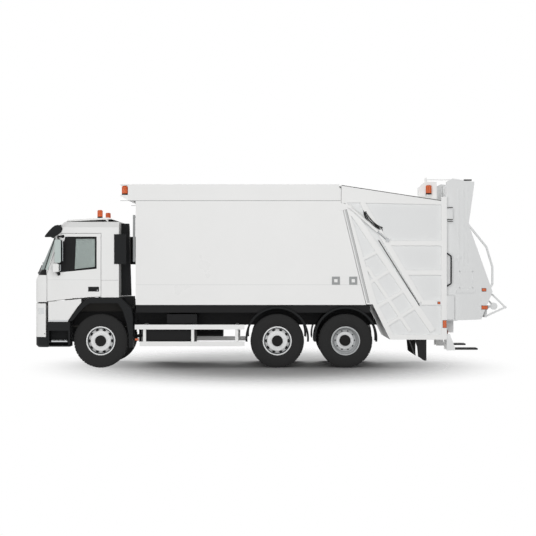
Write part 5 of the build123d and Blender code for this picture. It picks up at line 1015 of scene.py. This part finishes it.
def studio_floor():
    material = finish_of("studio_white", "A6A6A6", 0.9)
    tree = material.node_tree
    place = add_node(material, "ShaderNodeTexCoord", {}, {})
    squeezed = add_node(material, "ShaderNodeVectorMath",
                        {"operation": "MULTIPLY", 1: floor_squeeze}, {0: place.outputs["Object"]})
    reach = add_node(material, "ShaderNodeVectorMath", {"operation": "LENGTH"},
                     {0: squeezed.outputs["Vector"]})
    fade = add_node(material, "ShaderNodeMapRange",
                    {"interpolation_type": "SMOOTHSTEP", "From Min": fade_start,
                     "From Max": fade_end}, {"Value": reach.outputs["Value"]})
    clear = add_node(material, "ShaderNodeBsdfTransparent", {}, {})
    blend = add_node(material, "ShaderNodeMixShader", {},
                     {0: fade.outputs["Result"], 1: tree.nodes["Principled BSDF"].outputs["BSDF"],
                      2: clear.outputs["BSDF"]})
    tree.links.new(blend.outputs["Shader"], tree.nodes["Material Output"].inputs["Surface"])
    return material


floor_mesh = bpy.data.meshes.new("floor")
shape = bmesh.new()
bmesh.ops.create_grid(shape, x_segments=1, y_segments=1, size=floor_half)
shape.to_mesh(floor_mesh)
shape.free()
floor_mesh.materials.append(studio_floor())
floor = bpy.data.objects.new("floor", floor_mesh)
bpy.context.scene.collection.objects.link(floor)

# Studio light: the world is white where the camera, glass and metal see it, and a soft even
# light on the truck. A softbox behind and above throws the shadow towards the camera, a low one
# in front lights the near side, and two light the ends.
world = bpy.context.scene.world or bpy.data.worlds.new("studio")
bpy.context.scene.world = world
world.use_nodes = True
sky = world.node_tree.nodes
pure_white = hex_colour("FFFFFF")
soft_light = sky["Background"]
soft_light.inputs["Color"].default_value = pure_white
soft_light.inputs["Strength"].default_value = 0.23
backdrop = add_node(world, "ShaderNodeBackground", {"Color": pure_white, "Strength": 1.0}, {})
rays = add_node(world, "ShaderNodeLightPath", {}, {})
seen = rays.outputs["Is Camera Ray"]
for ray in ("Is Glossy Ray", "Is Transmission Ray"):
    either = add_node(world, "ShaderNodeMath", {"operation": "MAXIMUM"},
                      {0: seen, 1: rays.outputs[ray]})
    seen = either.outputs["Value"]
choice = add_node(world, "ShaderNodeMixShader", {},
                  {0: seen, 1: soft_light.outputs["Background"],
                   2: backdrop.outputs["Background"]})
world.node_tree.links.new(choice.outputs["Shader"], sky["World Output"].inputs["Surface"])

# Columns: name, place, what it points at, size, watts
softbox_table = (
    ("back", (0.0, -12.0, 12.0), (0.0, 1.0, 0.5), 7.5, 2700.0),
    ("front", (0.5, 22.0, 3.8), (0.0, 0.0, 1.8), 14.0, 3450.0),
    ("end", (15.0, 0.0, 3.5), (0.0, 0.0, 1.8), 6.0, 420.0),
    ("end", (-15.0, 0.0, 3.5), (0.0, 0.0, 1.8), 6.0, 420.0),
)
for name, place, aim, size, watts in softbox_table:
    lamp_data = bpy.data.lights.new(name, "AREA")
    lamp_data.energy = watts
    lamp_data.size = size
    lamp = bpy.data.objects.new(name, lamp_data)
    bpy.context.scene.collection.objects.link(lamp)
    lamp.location = place
    lamp.visible_camera = False
    lamp.visible_glossy = False
    lamp.rotation_euler = (Vector(aim) - Vector(place)).to_track_quat("-Z", "Y").to_euler()

# Camera: level, thirty metres from the truck's near side, with a long lens as in the photo.
camera_place = (0.06, 31.25, 2.0)
camera_data = bpy.data.cameras.new("camera")
camera_data.sensor_width = 36.0
camera_data.lens = 100.7
camera = bpy.data.objects.new("camera", camera_data)
bpy.context.scene.collection.objects.link(camera)
camera.location = camera_place
camera.rotation_euler = (math.radians(90), 0.0, math.radians(180))
bpy.context.scene.camera = camera
bpy.context.scene.view_settings.view_transform = "Standard"
